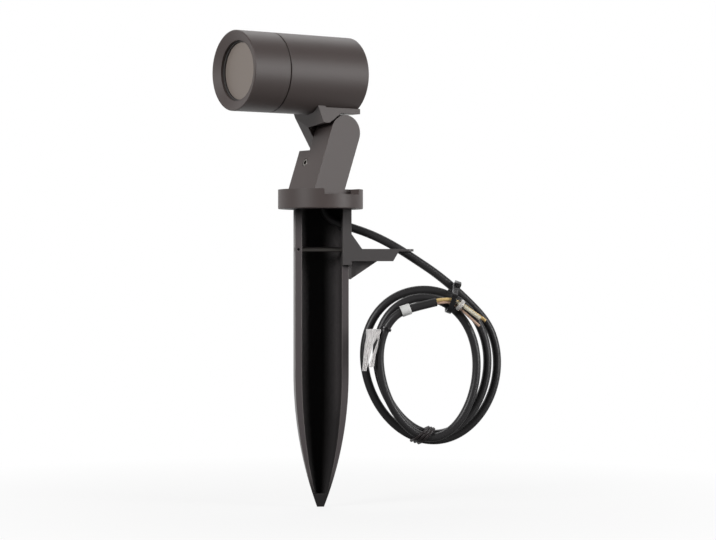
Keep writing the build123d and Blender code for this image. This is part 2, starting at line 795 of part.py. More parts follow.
with BuildPart() as cable_arm:
    with BuildSketch(Plane(origin=(0, spike_front, 0), x_dir=(1, 0, 0), z_dir=(0, -1, 0))):
        with BuildLine():
            Polyline(
                (arm_side - side_plate - root_overlap, 0),
                (arm_side, 0),
                (arm_side, brace_top),
                (arm_side + brace_run, bar_top),
                (bar_reach, bar_top),
                (bar_reach - bar_slant, bar_top - bar_height),
                (arm_side, bar_top - bar_height),
                (arm_side, -root_drop),
                (arm_side - side_plate - root_overlap, -root_drop),
                close=True,
            )
        make_face()
    extrude(amount=plate_thickness)
    # side plate on the flange's flank
    with BuildSketch(Plane(origin=(spike_half, 0, 0), x_dir=(0, 1, 0), z_dir=(1, 0, 0))):
        with Locations((spike_front, 0)):
            Rectangle(side_plate_depth, web_drop, align=(Align.MIN, Align.MAX))
    extrude(amount=side_plate)
    # shelf, slotted for the cable, with the eye between its prongs
    with BuildSketch(Plane.XY.offset(bar_top)):
        with Locations((arm_side, spike_front)):
            Rectangle(shelf_reach - arm_side, shelf_depth, align=(Align.MIN, Align.MIN))
        with Locations((eye_center.X, 0)):
            SlotOverall(eye_slot + 2 * eye_wall, 2 * (eye_bore + eye_wall))
            SlotOverall(eye_slot, 2 * eye_bore, mode=Mode.SUBTRACT)
    extrude(amount=-shelf_thickness)
    with BuildSketch(Plane(origin=(0, spike_front + web_setback, 0), x_dir=(1, 0, 0), z_dir=(0, 1, 0))):
        with BuildLine():
            Polyline(
                (arm_side, -bar_top),
                (web_reach, -bar_top),
                (web_reach, -bar_top + bar_height),
                (arm_side, web_drop),
                close=True,
            )
        make_face()
    extrude(amount=web_thickness)
    with BuildSketch(cross_plane(spike_half, cross_pin_back, cross_pin_height)):
        Circle(cross_pin_diameter / 2)
    extrude(amount=side_plate, mode=Mode.SUBTRACT)
cable_arm.part.label = "cable_arm"

with BuildPart() as cross_pin:
    with BuildSketch(cross_plane(-spike_half + pin_end_inset, cross_pin_back, cross_pin_height)):
        Circle(cross_pin_diameter / 2)
    extrude(amount=spike_width + side_plate - pin_end_inset)
cross_pin.part.label = "cross_pin"


# --- cable: a piece inside the arm, the free lead, the coil -------------------------------------------
def coil_point(turn):
    """Middle of the coiled cable after a number of turns, running clockwise as seen from the front."""
    angle = radians(coil_start_angle) - 2 * pi * turn
    half_width = coil_half_width - coil_width_loss * turn + coil_width_gain * turn**2
    half_height = coil_half_height - coil_height_loss * turn + coil_height_gain * turn**2
    center_x = coil_center_x + coil_drift_x * turn - coil_return_x * turn**2
    center_z = coil_center_z + coil_drift_z * turn - coil_return_z * turn**2
    return Vector(
        center_x + half_width * cos(angle) - coil_lean * sin(angle) * (1 - cos(angle)) / 2,
        -coil_pitch * turn,
        center_z + half_height * sin(angle),
    )


def coil_direction(turn):
    """Unit direction of the coiled cable after a number of turns."""
    small = 1e-4
    return (coil_point(turn + small) - coil_point(turn - small)).normalized()


def biarc(start, start_direction, end, end_direction):
    """Meeting point and direction of the two arcs that join two directed points smoothly."""
    chord = end - start
    both = start_direction + end_direction
    spread = 2 * (1 - start_direction.dot(end_direction))
    along = chord.dot(both)
    reach = (sqrt(along**2 + spread * chord.dot(chord)) - along) / spread
    middle = (start + end + (start_direction - end_direction) * reach) * 0.5
    direction = ((end - end_direction * reach) - (start + start_direction * reach)).normalized()
    return middle, direction


def least_self_gap(points, spacing, diameter):
    """Least clear distance between parts of a tube that lie more than two diameters apart along it."""
    skip = int(2 * diameter / spacing) + 1
    return min(
        (points[one] - points[two]).length
        for one in range(len(points))
        for two in range(one + skip, len(points))
    ) - diameter


coil_start = coil_point(0)
coil_heading = coil_direction(0)
lead_end = coil_start - coil_heading * cable_diameter
lead_points.append(lead_end - coil_heading * lead_last_run)
lead_points.append(lead_end)
lead_points.insert(0, Vector(0, 0, cable_split))

with BuildPart() as arm_cable:
    with BuildLine():
        arm_run_points = [Vector(0, 0, cable_split), cable_bend, cable_bend + lean_up * cable_top_run]
        FilletPolyline(*arm_run_points, radius=corner_radii(arm_run_points))
    with BuildSketch(Plane(origin=arm_run_points[0], z_dir=(0, 0, 1))):
        Circle(cable_radius)
    sweep()
arm_cable.part.label = "arm_cable"

lead_radii = corner_radii(lead_points)
print("lead radii", [round(radius, 1) for radius in lead_radii])
with BuildPart() as cord_lead:
    with BuildLine() as lead_line:
        FilletPolyline(*lead_points, radius=lead_radii)
    with BuildSketch(Plane(origin=lead_points[0], z_dir=(0, 0, -1))):
        Circle(cable_radius)
    sweep()
cord_lead.part.label = "cord_lead"
lead_length = sum(edge.length for edge in lead_line.edges())
lead_ratio = cord_lead.part.volume / (pi * cable_radius**2 * lead_length)
print("lead length", round(lead_length, 1), "volume ratio", round(lead_ratio, 4))

steps = round(coil_turns / quarter)
coil_stations = [coil_turns * step / steps for step in range(steps + 1)]
with BuildPart() as cord_coil:
    with BuildLine() as coil_line:
        Line(lead_end, coil_start)
        for first, last in zip(coil_stations, coil_stations[1:]):
            middle, direction = biarc(
                coil_point(first), coil_direction(first), coil_point(last), coil_direction(last)
            )
            TangentArc(coil_point(first), middle, tangent=coil_direction(first))
            TangentArc(middle, coil_point(last), tangent=direction)
        coil_end = coil_point(coil_turns)
        coil_leaving = coil_direction(coil_turns)
        Line(coil_end, coil_end + coil_leaving * coil_tail)
    with BuildSketch(Plane(origin=lead_end, z_dir=coil_heading)):
        Circle(cable_radius)
    sweep()
cord_coil.part.label = "cord_coil"
coil_length = sum(edge.length for edge in coil_line.edges())
coil_wire = coil_line.wires()[0]
samples = 700
coil_samples = [coil_wire @ (step / samples) for step in range(samples + 1)]
coil_ratio = cord_coil.part.volume / (pi * cable_radius**2 * coil_length)
print("coil length", round(coil_length, 1), "volume ratio", round(coil_ratio, 4))
print("coil least self-gap", round(least_self_gap(coil_samples, coil_length / samples, cable_diameter), 2))

# --- bare cores past the jacket's end -----------------------------------------------------------------
jacket_end = coil_end + coil_leaving * coil_tail
core_heading = Vector(cos(radians(core_fall)), 0, -sin(radians(core_fall)))
elbow = Vector(core_elbow[0], jacket_end.Y, core_elbow[1])
core_up = Vector(sin(radians(tie_fall)), 0, cos(radians(tie_fall)))
with BuildPart() as conductors:
    for (rise, back), core_run in zip(core_places, core_runs):
        offset = core_up * rise + Vector(0, back, 0)
        start = jacket_end + offset - coil_leaving * offset.dot(coil_leaving)
        with BuildLine():
            FilletPolyline(
                start,
                start + coil_leaving * core_straight,
                elbow + offset,
                elbow + offset + core_heading * core_run,
                radius=core_bend,
            )
        with BuildSketch(Plane(origin=start, z_dir=coil_leaving)):
            Circle(core_diameter / 2)
        sweep()
conductors.part.label = "conductors"


def place_on_coil(turn):
    """Parameter of the coiled cable's middle line nearest to a number of turns."""
    target = coil_point(turn)
    return min(range(samples + 1), key=lambda step: (coil_samples[step] - target).length) / samples


def coil_frame(turn):
    """Plane square to the coiled cable at a number of turns."""
    place = place_on_coil(turn)
    return Plane(origin=coil_wire @ place, x_dir=(0, 1, 0), z_dir=coil_wire % place)


def crossing(wire, place, plane):
    """Where a cable's middle line passes through a plane, near a place along it."""
    for _ in range(20):
        gap = (wire @ place - plane.origin).dot(plane.z_dir)
        place -= gap / ((wire % place).dot(plane.z_dir) * wire.length)
    return wire @ place


def line_crossing(plane, point, direction):
    """Where a straight run passes through a plane."""
    return point - direction * ((point - plane.origin).dot(plane.z_dir) / direction.dot(plane.z_dir))


def bundle(plane, middles):
    """Center and size, in a plane, of the box that holds cables with the given middles."""
    flat = [plane.to_local_coords(middle) for middle in middles]
    low = [min(point.X for point in flat), min(point.Y for point in flat)]
    high = [max(point.X for point in flat), max(point.Y for point in flat)]
    margin = cable_diameter + 2 * tie_clearance
    center = ((low[0] + high[0]) / 2, (low[1] + high[1]) / 2)
    return center, high[0] - low[0] + margin, high[1] - low[1] + margin


# --- ties, marker, wrap and folded tag ----------------------------------------------------------------
tie_heading = Vector(cos(radians(tie_fall)), 0, -sin(radians(tie_fall)))
upper_plane = Plane(origin=(tie_place[0], jacket_end.Y / 2, tie_place[1]), x_dir=(0, 1, 0), z_dir=tie_heading)
upper_middles = [
    crossing(lead_line.wires()[0], lead_at_tie, upper_plane),
    crossing(coil_wire, place_on_coil(upper_tie_turn), upper_plane),
    crossing(coil_wire, place_on_coil(upper_tie_turn + 1), upper_plane),
    line_crossing(upper_plane, elbow, tie_heading),
]
lower_plane = coil_frame(lower_tie_turn + 1)
lower_middles = [crossing(coil_wire, place_on_coil(lower_tie_turn + turn), lower_plane) for turn in range(3)]

with BuildPart() as tie_upper:
    center, depth, height = bundle(upper_plane, upper_middles)
    with BuildSketch(upper_plane.offset(-upper_tie_width / 2)):
        with Locations(center):
            RectangleRounded(depth + 2 * tie_band, height + 2 * tie_band, cable_radius + tie_band)
            RectangleRounded(depth, height, cable_radius, mode=Mode.SUBTRACT)
    extrude(amount=upper_tie_width)
    with BuildSketch(upper_plane.offset(-tie_head / 2)):
        with Locations((center[0], center[1] + height / 2)):
            Rectangle(tie_head, tie_head_height, align=(Align.CENTER, Align.MIN))
    extrude(amount=tie_head)
tie_upper.part.label = "tie_upper"

with BuildPart() as tie_lower:
    center, depth, height = bundle(lower_plane, lower_middles)
    for wrap in range(lower_wraps):
        with BuildSketch(lower_plane.offset(lower_tie_pitch * (wrap - lower_wraps / 2))):
            with Locations(center):
                RectangleRounded(depth + 2 * tie_band, height + 2 * tie_band, cable_radius + tie_band)
                RectangleRounded(depth, height, cable_radius, mode=Mode.SUBTRACT)
        extrude(amount=lower_tie_width)
    with BuildSketch(lower_plane.offset(-lower_tie_pitch * lower_wraps / 2)):
        with Locations((center[0] - depth / 2, center[1])):
            Rectangle(tie_band, cable_diameter, align=(Align.MAX, Align.CENTER))
    extrude(amount=lower_tie_pitch * lower_wraps)
tie_lower.part.label = "tie_lower"

marker_plane = coil_frame(marker_turn)
with BuildPart() as marker_sleeve:
    with BuildSketch(marker_plane.offset(-marker_length / 2)):
        Circle(cable_radius + sleeve_slack + sleeve_wall)
        Circle(cable_radius + sleeve_slack, mode=Mode.SUBTRACT)
    extrude(amount=marker_length)
marker_sleeve.part.label = "marker_sleeve"

wrap_bore = max(sqrt(rise**2 + back**2) for rise, back in core_places) + core_diameter / 2 + wrap_slack
with BuildPart() as core_wrap:
    with BuildSketch(Plane(origin=elbow + core_heading * wrap_place, z_dir=core_heading)):
        Circle(wrap_bore + wrap_wall)
        Circle(wrap_bore, mode=Mode.SUBTRACT)
    extrude(amount=wrap_length)
core_wrap.part.label = "core_wrap"

collar = coil_frame(tag_turn)
collar_radius = cable_radius + sleeve_slack + tag_thickness
tag_front = collar.origin - Vector(0, collar_radius, 0)
with BuildPart() as cable_tag:
    with BuildSketch(collar.offset(-tag_collar / 2)):
        Circle(collar_radius)
    extrude(amount=tag_collar)
    with BuildSketch(Plane(origin=tag_front, x_dir=(1, 0, 0), z_dir=(0, -1, 0))):
        for tag_leaf in tag_leaves:
            with BuildLine():
                Polyline(*tag_leaf, close=True)
            make_face()
    extrude(amount=-tag_thickness)
    with BuildSketch(collar.offset(-tag_collar)):
        Circle(cable_radius + sleeve_slack)
    extrude(amount=2 * tag_collar, mode=Mode.SUBTRACT)
cable_tag.part.label = "cable_tag"

pieces = [
    front_ring, glass_gasket, front_glass, housing_seal, head_housing, lamp, lamp_lens, lamp_pins,
    lamp_holder, holder_strap, holder_screws, head_foot, foot_screws, pivot_bolt, pivot_washer, bracket,
    arm_screw, grub_screws, spike, cable_arm, cross_pin, arm_cable, cord_lead, cord_coil, conductors,
    tie_upper, tie_lower, marker_sleeve, core_wrap, cable_tag,
]
os.makedirs("parts", exist_ok=True)
for piece in pieces:
    export_step(piece.part, f"parts/{piece.part.label}.step")
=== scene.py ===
"""Garden spike spotlight: finishes, cable, ties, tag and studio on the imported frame.

Metres. The origin is on the spike's axis at the ground line; the trough opens to -Y, the cable arm
reaches to +X, and the lamp head points to -X and -Y.
"""
import logging
import math
from dataclasses import dataclass, field
from enum import Enum, StrEnum, auto
from itertools import combinations

import bpy
from mathutils import Matrix, Vector


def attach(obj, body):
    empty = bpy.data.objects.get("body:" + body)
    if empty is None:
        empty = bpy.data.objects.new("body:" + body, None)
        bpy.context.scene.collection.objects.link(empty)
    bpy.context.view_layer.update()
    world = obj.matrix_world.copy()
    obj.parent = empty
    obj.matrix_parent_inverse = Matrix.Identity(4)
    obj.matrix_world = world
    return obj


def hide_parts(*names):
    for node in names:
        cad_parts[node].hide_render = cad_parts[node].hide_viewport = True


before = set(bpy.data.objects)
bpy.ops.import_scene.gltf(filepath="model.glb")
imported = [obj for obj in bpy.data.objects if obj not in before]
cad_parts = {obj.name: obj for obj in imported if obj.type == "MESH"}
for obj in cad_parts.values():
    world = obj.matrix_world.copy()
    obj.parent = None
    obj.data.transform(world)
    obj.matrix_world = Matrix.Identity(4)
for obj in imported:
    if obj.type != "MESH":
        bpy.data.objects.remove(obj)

logging.basicConfig(level=logging.INFO, format="%(message)s")
log = logging.getLogger("spotlight")
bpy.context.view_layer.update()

Colour = tuple[float, float, float, float]
Point = tuple[float, float, float]
Piece = bpy.types.Object
Tree = bpy.types.NodeTree
Socket = bpy.types.NodeSocket

MM = 0.001
# Sockets of a Mix node: its factor, its two numbers, its two colours, and the colour that comes out.
FACTOR, NUMBER_A, NUMBER_B, COLOUR_A, COLOUR_B, MIXED_COLOUR = 0, 2, 3, 6, 7, 2
WHITE = "FFFFFF"
TO_REAR = Vector((0.0, 1.0, 0.0))
# Rounding of a moulded edge as a share of the wall beside it, and its steps.
EDGE_SHARE = 0.3
EDGE_STEPS = 2
# Flat sides of a turned tube.
ROUND_SIDES = 48
# A cable's spline: its order, its steps between two points, and those round a quarter of it.
SPLINE_ORDER = 3
SPLINE_STEPS = 8
QUARTER_STEPS = 6


# --- small helpers ---
def linear(hex_value: str) -> Colour:
    """Turns an sRGB hex colour into a linear one.

    Args:
        hex_value: six hex digits, such as "5B5553".

    Returns:
        The linear red, green, blue and an alpha of 1.
    """
    values = [int(hex_value[place:place + 2], 16) / 255 for place in (0, 2, 4)]
    red, green, blue = (v / 12.92 if v <= 0.04045 else ((v + 0.055) / 1.055) ** 2.4 for v in values)
    return (red, green, blue, 1.0)


def per_metre(size_mm: float) -> float:
    """Scale of a pattern whose features are so many millimetres apart."""
    return 1.0 / (size_mm * MM)


def add_node(tree: Tree, kind: str, settings: dict | None = None,
             links: dict | None = None) -> bpy.types.Node:
    """Adds a node with its settings and links.

    Args:
        tree: the node tree that takes the node.
        kind: the node's type without its common start, such as "TexNoise".
        settings: attributes by name, or input sockets by name or number, with their values.
        links: input sockets, by name or number, with the outputs that feed them.

    Returns:
        The new node.
    """
    new = tree.nodes.new(f"ShaderNode{kind}")
    for name, value in (settings or {}).items():
        if isinstance(name, str) and hasattr(new, name):
            setattr(new, name, value)
        else:
            new.inputs[name].default_value = value
    for name, output in (links or {}).items():
        tree.links.new(output, new.inputs[name])
    return new


def empty_material(name: str) -> tuple[bpy.types.Material, Tree]:
    """Makes a material whose node tree is empty.

    Args:
        name: the material's name.

    Returns:
        The material and its node tree.
    """
    material = bpy.data.materials.new(name)
    material.use_nodes = True
    material.node_tree.nodes.clear()
    return material, material.node_tree


# --- finishes ---
@dataclass(frozen=True)
class Finish:
    """A plain finish: an even colour with a slow change of tone and a fine grain.

    The grain is real but finer than a pixel at the render's scale, so each one is drawn at least
    half a millimetre coarse.
    """

    name: str
    colour: str
    roughness: float
    grain_mm: float = 0.6
    grain_depth_mm: float = 0.02
    tone_mm: float = 30.0
    tone_spread: float = 0.06
    tone_detail: float = 3.0
    grain_detail: float = 4.0
    roughness_swing: float = 0.04
    metallic: float = 0.0
    edge_mm: float = 0.3
    edge_samples: int = 4
    # Painted highlight along the edges: its strength, its colour, and the turn of the normal over which it
    # fades in.
    painted_edge_highlight: float = 0.0
    edge_highlight_colour: str = "B9B2AD"
    edge_highlight_range: tuple[float, float] = (0.995, 0.8)
    # Painted shade in hollows: the reach and samples of the occlusion, the shade at the deepest, the
    # occlusion over which it lifts, and the roughness there.
    cavity_mm: float = 0.0
    cavity_samples: int = 8
    painted_hollow_shade: float = 1.0
    cavity_range: tuple[float, float] = (0.74, 0.97)
    cavity_roughness: float = 0.85
    extra: tuple[tuple[str, float], ...] = ()

    def surface_colour(self, tree: Tree, place: Socket) -> Socket:
        """Builds the colour: the base with a slow change of tone.

        Args:
            tree: the material's node tree.
            place: the output socket that holds the point in the object.

        Returns:
            The socket that carries the colour.
        """
        tone = add_node(tree, "TexNoise",
                        {"Scale": per_metre(self.tone_mm), "Detail": self.tone_detail}, {"Vector": place})
        spread = add_node(tree, "MapRange",
                          {"To Min": 1.0 - self.tone_spread, "To Max": 1.0 + self.tone_spread},
                          {"Value": tone.outputs["Fac"]})
        shade = add_node(tree, "HueSaturation", {"Color": linear(self.colour)},
                         {"Value": spread.outputs["Result"]})
        return shade.outputs["Color"]

    def grain(self, tree: Tree, place: Socket) -> Socket:
        """Height of the fine surface grain.

        Args:
            tree: the material's node tree.
            place: the output socket that holds the point in the object.

        Returns:
            The socket that carries the height.
        """
        fine = add_node(tree, "TexNoise",
                        {"Scale": per_metre(self.grain_mm), "Detail": self.grain_detail}, {"Vector": place})
        return fine.outputs["Fac"]

    def painted_shade_in_hollows(self, tree: Tree) -> Socket:
        """Tells open faces from hollows, where the colour is darkened as painted shade and the surface is
        made duller.

        Args:
            tree: the material's node tree.

        Returns:
            The socket that carries 1 on open faces and falls to the painted shade down in a hollow.
        """
        hollow = add_node(tree, "AmbientOcclusion",
                          {"samples": self.cavity_samples, "Distance": self.cavity_mm * MM})
        depth = add_node(tree, "MapRange",
                         {"From Min": self.cavity_range[0], "From Max": self.cavity_range[1],
                          "To Min": self.painted_hollow_shade}, {"Value": hollow.outputs["AO"]})
        return depth.outputs["Result"]

    def paint_edge_highlight(self, tree: Tree, colour: Socket, rounded: Socket) -> Socket:
        """Paints a highlight along the edges, where the rounded normal turns away from the true one.

        Args:
            tree: the material's node tree.
            colour: the socket that carries the colour of the faces.
            rounded: the socket that carries the normal with rounded edges.

        Returns:
            The socket that carries the colour of faces and edges.
        """
        true = add_node(tree, "NewGeometry")
        turn = add_node(tree, "VectorMath", {"operation": "DOT_PRODUCT"},
                        {0: rounded, 1: true.outputs["True Normal"]})
        edge = add_node(tree, "MapRange",
                        {"From Min": self.edge_highlight_range[0], "From Max": self.edge_highlight_range[1], "To Max": 1.0},
                        {"Value": turn.outputs["Value"]})
        lift = add_node(tree, "Math", {"operation": "MULTIPLY", 1: self.painted_edge_highlight},
                        {0: edge.outputs["Result"]})
        mix = add_node(tree, "Mix", {"data_type": "RGBA", COLOUR_B: linear(self.edge_highlight_colour)},
                       {FACTOR: lift.outputs[0], COLOUR_A: colour})
        return mix.outputs[MIXED_COLOUR]

    def material(self) -> bpy.types.Material:
        """Builds the material.

        Returns:
            The material, ready to be put on a piece.
        """
        material, tree = empty_material(self.name)
        place = add_node(tree, "TexCoord").outputs["Object"]
        colour = self.surface_colour(tree, place)
        height = self.grain(tree, place)
        rounded = add_node(tree, "Bevel",
                           {"samples": self.edge_samples, "Radius": self.edge_mm * MM}).outputs["Normal"]
        # Painted highlight along the edges.
        if self.painted_edge_highlight:
            colour = self.paint_edge_highlight(tree, colour, rounded)
        bump = add_node(tree, "Bump", {"Distance": self.grain_depth_mm * MM},
                        {"Height": height, "Normal": rounded})
        swing = self.roughness_swing
        rough = add_node(tree, "MapRange",
                         {"To Min": self.roughness - swing, "To Max": self.roughness + swing},
                         {"Value": height}).outputs["Result"]
        # Painted shade in the hollows: a darker colour there, and a duller surface.
        if self.cavity_mm:
            hollow_shade_factor = self.painted_shade_in_hollows(tree)
            painted_shade = add_node(tree, "HueSaturation", {}, {"Value": hollow_shade_factor, "Color": colour})
            duller = add_node(tree, "MapRange",
                              {"From Min": self.painted_hollow_shade, "To Min": self.cavity_roughness},
                              {"Value": hollow_shade_factor, "To Max": rough})
            colour, rough = painted_shade.outputs["Color"], duller.outputs["Result"]
        shader = add_node(tree, "BsdfPrincipled",
                          {"Metallic": self.metallic, **dict(self.extra)},
                          {"Base Color": colour, "Roughness": rough, "Normal": bump.outputs["Normal"]})
        add_node(tree, "OutputMaterial", {}, {"Surface": shader.outputs["BSDF"]})
        return material


@dataclass(frozen=True)
class TurnedSteel(Finish):
    """Turned and drawn stainless steel: fine lines along Z break up the shine."""

    metallic: float = 1.0
    grain_detail: float = 3.0
    line_stretch: float = 18.0

    def grain(self, tree: Tree, place: Socket) -> Socket:
        """Height of the drawn lines: the grain, stretched along Z."""
        drawn = add_node(tree, "Mapping", {"Scale": (1.0, 1.0, 1.0 / self.line_stretch)}, {"Vector": place})
        return super().grain(tree, drawn.outputs["Vector"])


@dataclass(frozen=True)
class CrinkledPaper(Finish):
    """Thin paper that was folded and handled: soft creases with flat facets between them."""

    def grain(self, tree: Tree, place: Socket) -> Socket:
        """Height of the creases, which lie one grain size apart."""
        creases = {"feature": "F2", "Scale": per_metre(self.grain_mm)}
        return add_node(tree, "TexVoronoi", creases, {"Vector": place}).outputs["Distance"]


# Die-cast aluminium with a satin grey-brown powder coat: soft highlights, a faint orange peel,
# and a painted highlight along its edges.
POWDER_COAT = Finish("powder_coat_on_die_cast_aluminium", "564D4B", 0.5, 0.8, 0.018, 35.0, 0.03,
                     edge_mm=0.35, painted_edge_highlight=0.12)
# Glass-filled polyamide, moulded: dark grey and satin with a spark-eroded grain, a painted highlight
# along its edges, and a painted shade that makes it near black, as well as duller, where it is hollow.
MOULDED_POLYAMIDE = Finish("moulded_polyamide", "5F595A", 0.42, 0.6, 0.02, 28.0, 0.05, edge_mm=0.9,
                           painted_edge_highlight=0.45, cavity_mm=30.0, painted_hollow_shade=0.16)
# The same polyamide on the cable arm, which has open faces only: a painted highlight along its edges and no
# painted shade.
OPEN_POLYAMIDE = Finish("open_moulded_polyamide", "595656", 0.42, 0.6, 0.02, 28.0, 0.05, edge_mm=0.5,
                        painted_edge_highlight=0.25)
# Extruded rubber sheath: black with a waxy, slightly uneven sheen.
RUBBER_SHEATH = Finish("extruded_rubber_sheath", "343334", 0.4, 1.4, 0.03, 12.0, 0.10, edge_mm=0.1,
                       extra=(("Specular IOR Level", 0.4),))
# Moulded silicone: matt and grey.
SILICONE_SEAL = Finish("moulded_silicone_seal", "4A4847", 0.62, 0.7, 0.02, 10.0, 0.05, edge_mm=0.1)
# Nylon of the cable tie, the washer and the tag's band: black, with the small gloss of a smooth mould.
NYLON_TIE = Finish("moulded_nylon_tie", "242324", 0.24, 0.7, 0.02, 6.0, 0.08, edge_mm=0.15)
# Coated soft wire: black-brown and waxy.
SOFT_TIE = Finish("coated_soft_wire", "2E2829", 0.48, 0.9, 0.03, 6.0, 0.1, edge_mm=0.3)
# Steatite: a dense white ceramic with a dull glaze.
STEATITE = Finish("glazed_steatite", "D8D4C8", 0.38, 0.7, 0.02, 9.0, 0.03)
# Pins, strap, bright screws and cross pin: turned stainless steel.
STAINLESS = TurnedSteel("turned_stainless_steel", "8E8A86", 0.34, 0.5, 0.01, 12.0, 0.05)
# Pivot bolt and grub screws: stainless steel under the same dark coat as the casting.
DARK_SCREW = TurnedSteel("blackened_stainless_steel", "4B4745", 0.36, 0.5, 0.01, 12.0, 0.05, metallic=0.8)
# Plain white paper, thin and handled: its creases stand up to half a millimetre.
TAG_PAPER = CrinkledPaper("crinkled_paper", "F4F1F0", 0.7, 1.6, 0.5, 5.0, 0.22, edge_mm=0.05)
# Soft white PVC sleeve.
MARKER_SLEEVE = Finish("white_pvc_sleeve", "F0F0EE", 0.45, 0.8, 0.02, 6.0, 0.03, edge_mm=0.1)
# Core insulation: soft PVC in three colours.
CORE_OCHRE = Finish("ochre_core_insulation", "E3C384", 0.4, 0.8, 0.02, 6.0, 0.07, edge_mm=0.05)
CORE_TAN = Finish("tan_core_insulation", "CFAE98", 0.4, 0.8, 0.02, 6.0, 0.07, edge_mm=0.05)
CORE_CREAM = Finish("cream_core_insulation", "E2DCC6", 0.36, 0.8, 0.02, 6.0, 0.07, edge_mm=0.05)


@dataclass(frozen=True)
class ClearGlazing:
    """Glass or clear film: partly see-through, partly scattering."""

    name: str
    colour: str
    roughness: float
    transmission: float
    ior: float = 1.5
    haze_mm: float = 1.2
    haze_detail: float = 4.0
    roughness_swing: float = 0.05

    def material(self) -> bpy.types.Material:
        """Builds the material.

        Returns:
            The material, ready to be put on a piece.
        """
        material, tree = empty_material(self.name)
        place = add_node(tree, "TexCoord").outputs["Object"]
        haze = add_node(tree, "TexNoise",
                        {"Scale": per_metre(self.haze_mm), "Detail": self.haze_detail}, {"Vector": place})
        swing = self.roughness_swing
        rough = add_node(tree, "MapRange",
                         {"To Min": self.roughness - swing, "To Max": self.roughness + swing},
                         {"Value": haze.outputs["Fac"]})
        shader = add_node(tree, "BsdfPrincipled",
                          {"Base Color": linear(self.colour), "Transmission Weight": self.transmission,
                           "IOR": self.ior},
                          {"Roughness": rough.outputs["Result"]})
        add_node(tree, "OutputMaterial", {}, {"Surface": shader.outputs["BSDF"]})
        return material


# Acid-etched toughened glass: a flat satin face that scatters what is behind it.
ETCHED_GLASS = ClearGlazing("acid_etched_glass", "9A8F87", 0.42, 0.2)
# Pressed glass of the reflector lamp: clear, with a silvered bowl behind.
LAMP_GLASS = ClearGlazing("pressed_lamp_glass", "C9C7C2", 0.15, 0.4)
# Thin clear film round the cores, clouded by handling.
CLEAR_FILM = ClearGlazing("clouded_clear_film", "E9E6E3", 0.25, 0.35, 1.45)
PALE_FLOOR = "E4E3E2"


class Node(StrEnum):
    """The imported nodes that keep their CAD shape."""

    FRONT_RING = auto()
    GLASS_GASKET = auto()
    FRONT_GLASS = auto()
    HOUSING_SEAL = auto()
    HEAD_HOUSING = auto()
    LAMP = auto()
    LAMP_LENS = auto()
    LAMP_PINS = auto()
    LAMP_HOLDER = auto()
    HOLDER_STRAP = auto()
    HOLDER_SCREWS = auto()
    HEAD_FOOT = auto()
    FOOT_SCREWS = auto()
    PIVOT_BOLT = auto()
    PIVOT_WASHER = auto()
    BRACKET = auto()
    ARM_SCREW = auto()
    GRUB_SCREWS = auto()
    SPIKE = auto()
    CABLE_ARM = auto()
    CROSS_PIN = auto()


class Part(Enum):
    """What is selected on a mesh: its list in the mesh and its mode in edit mode."""

    CORNERS = ("vertices", "VERT")
    EDGES = ("edges", "EDGE")
    FACES = ("polygons", "FACE")


AnyFinish = Finish | ClearGlazing
FinishPlan = tuple[tuple[AnyFinish, tuple[Node, ...]], ...]


def give(piece: Piece, finish: AnyFinish) -> None:
    """Puts a finish on a piece and reports the piece.

    Args:
        piece: the piece.
        finish: its finish.
    """
    material = bpy.data.materials.get(finish.name) or finish.material()
    piece.data.materials.clear()
    piece.data.materials.append(material)
    log.info("%s: %s", piece.name, finish.name)


@dataclass(frozen=True, kw_only=True)
class SubAssembly:
    """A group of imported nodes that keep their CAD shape, and the plan of their finishes."""

    finishes: FinishPlan

    def dress(self) -> None:
        """Puts the plan's finishes on the nodes."""
        for finish, nodes in self.finishes:
            for node in nodes:
                give(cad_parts[node], finish)


def deselect() -> None:
    """Leaves nothing selected and no mode open."""
    if bpy.context.object and bpy.context.object.mode != "OBJECT":
        bpy.ops.object.mode_set(mode="OBJECT")
    bpy.ops.object.select_all(action="DESELECT")


def pick(*pieces: Piece) -> None:
    """Selects some pieces and nothing else, the first of them active.

    Args:
        pieces: the pieces.
    """
    deselect()
    for piece in pieces:
        piece.select_set(True)
    bpy.context.view_layer.objects.active = pieces[0]


def edit_chosen(piece: Piece, part: Part, chosen: list[bool]) -> None:
    """Opens a piece in edit mode with only the chosen parts of it selected.

    Args:
        piece: the piece.
        part: whether corners, edges or faces are chosen.
        chosen: a flag for each of them.
    """
    pick(piece)
    listed, mode = part.value
    for group in (piece.data.polygons, piece.data.edges, piece.data.vertices):
        group.foreach_set("select", [False] * len(group))
    getattr(piece.data, listed).foreach_set("select", chosen)
    bpy.ops.object.mode_set(mode="EDIT")
    bpy.ops.mesh.select_mode(type=mode)


def sized(scale: Point) -> Piece:
    """Applies a size, and its place and turn, to the primitive that was just added.

    Args:
        scale: the size along its own axes.

    Returns:
        The piece.
    """
    piece = bpy.context.object
    piece.scale = scale
    bpy.ops.object.transform_apply(location=True, rotation=True, scale=True)
    return piece


def placed(name: str, data: bpy.types.ID) -> Piece:
    """Puts an object with some data into the scene.

    Args:
        name: the object's name.
        data: its curve, lamp or camera.

    Returns:
        The object.
    """
    piece = bpy.data.objects.new(name, data)
    bpy.context.scene.collection.objects.link(piece)
    return piece


def finish_piece(piece: Piece, name: str, where: Matrix, smooth_deg: float = 35.0) -> None:
    """Names a piece, lays it where it belongs and leaves its object at the origin.

    Args:
        piece: the piece, modelled about the origin.
        name: its name.
        where: its place and turn.
        smooth_deg: edges flatter than this are shaded smooth.
    """
    pick(piece)
    piece.name = name
    piece.data.name = name
    bpy.ops.object.shade_smooth_by_angle(angle=math.radians(smooth_deg))
    piece.matrix_world = where @ piece.matrix_world
    bpy.ops.object.transform_apply(location=True, rotation=True, scale=True)


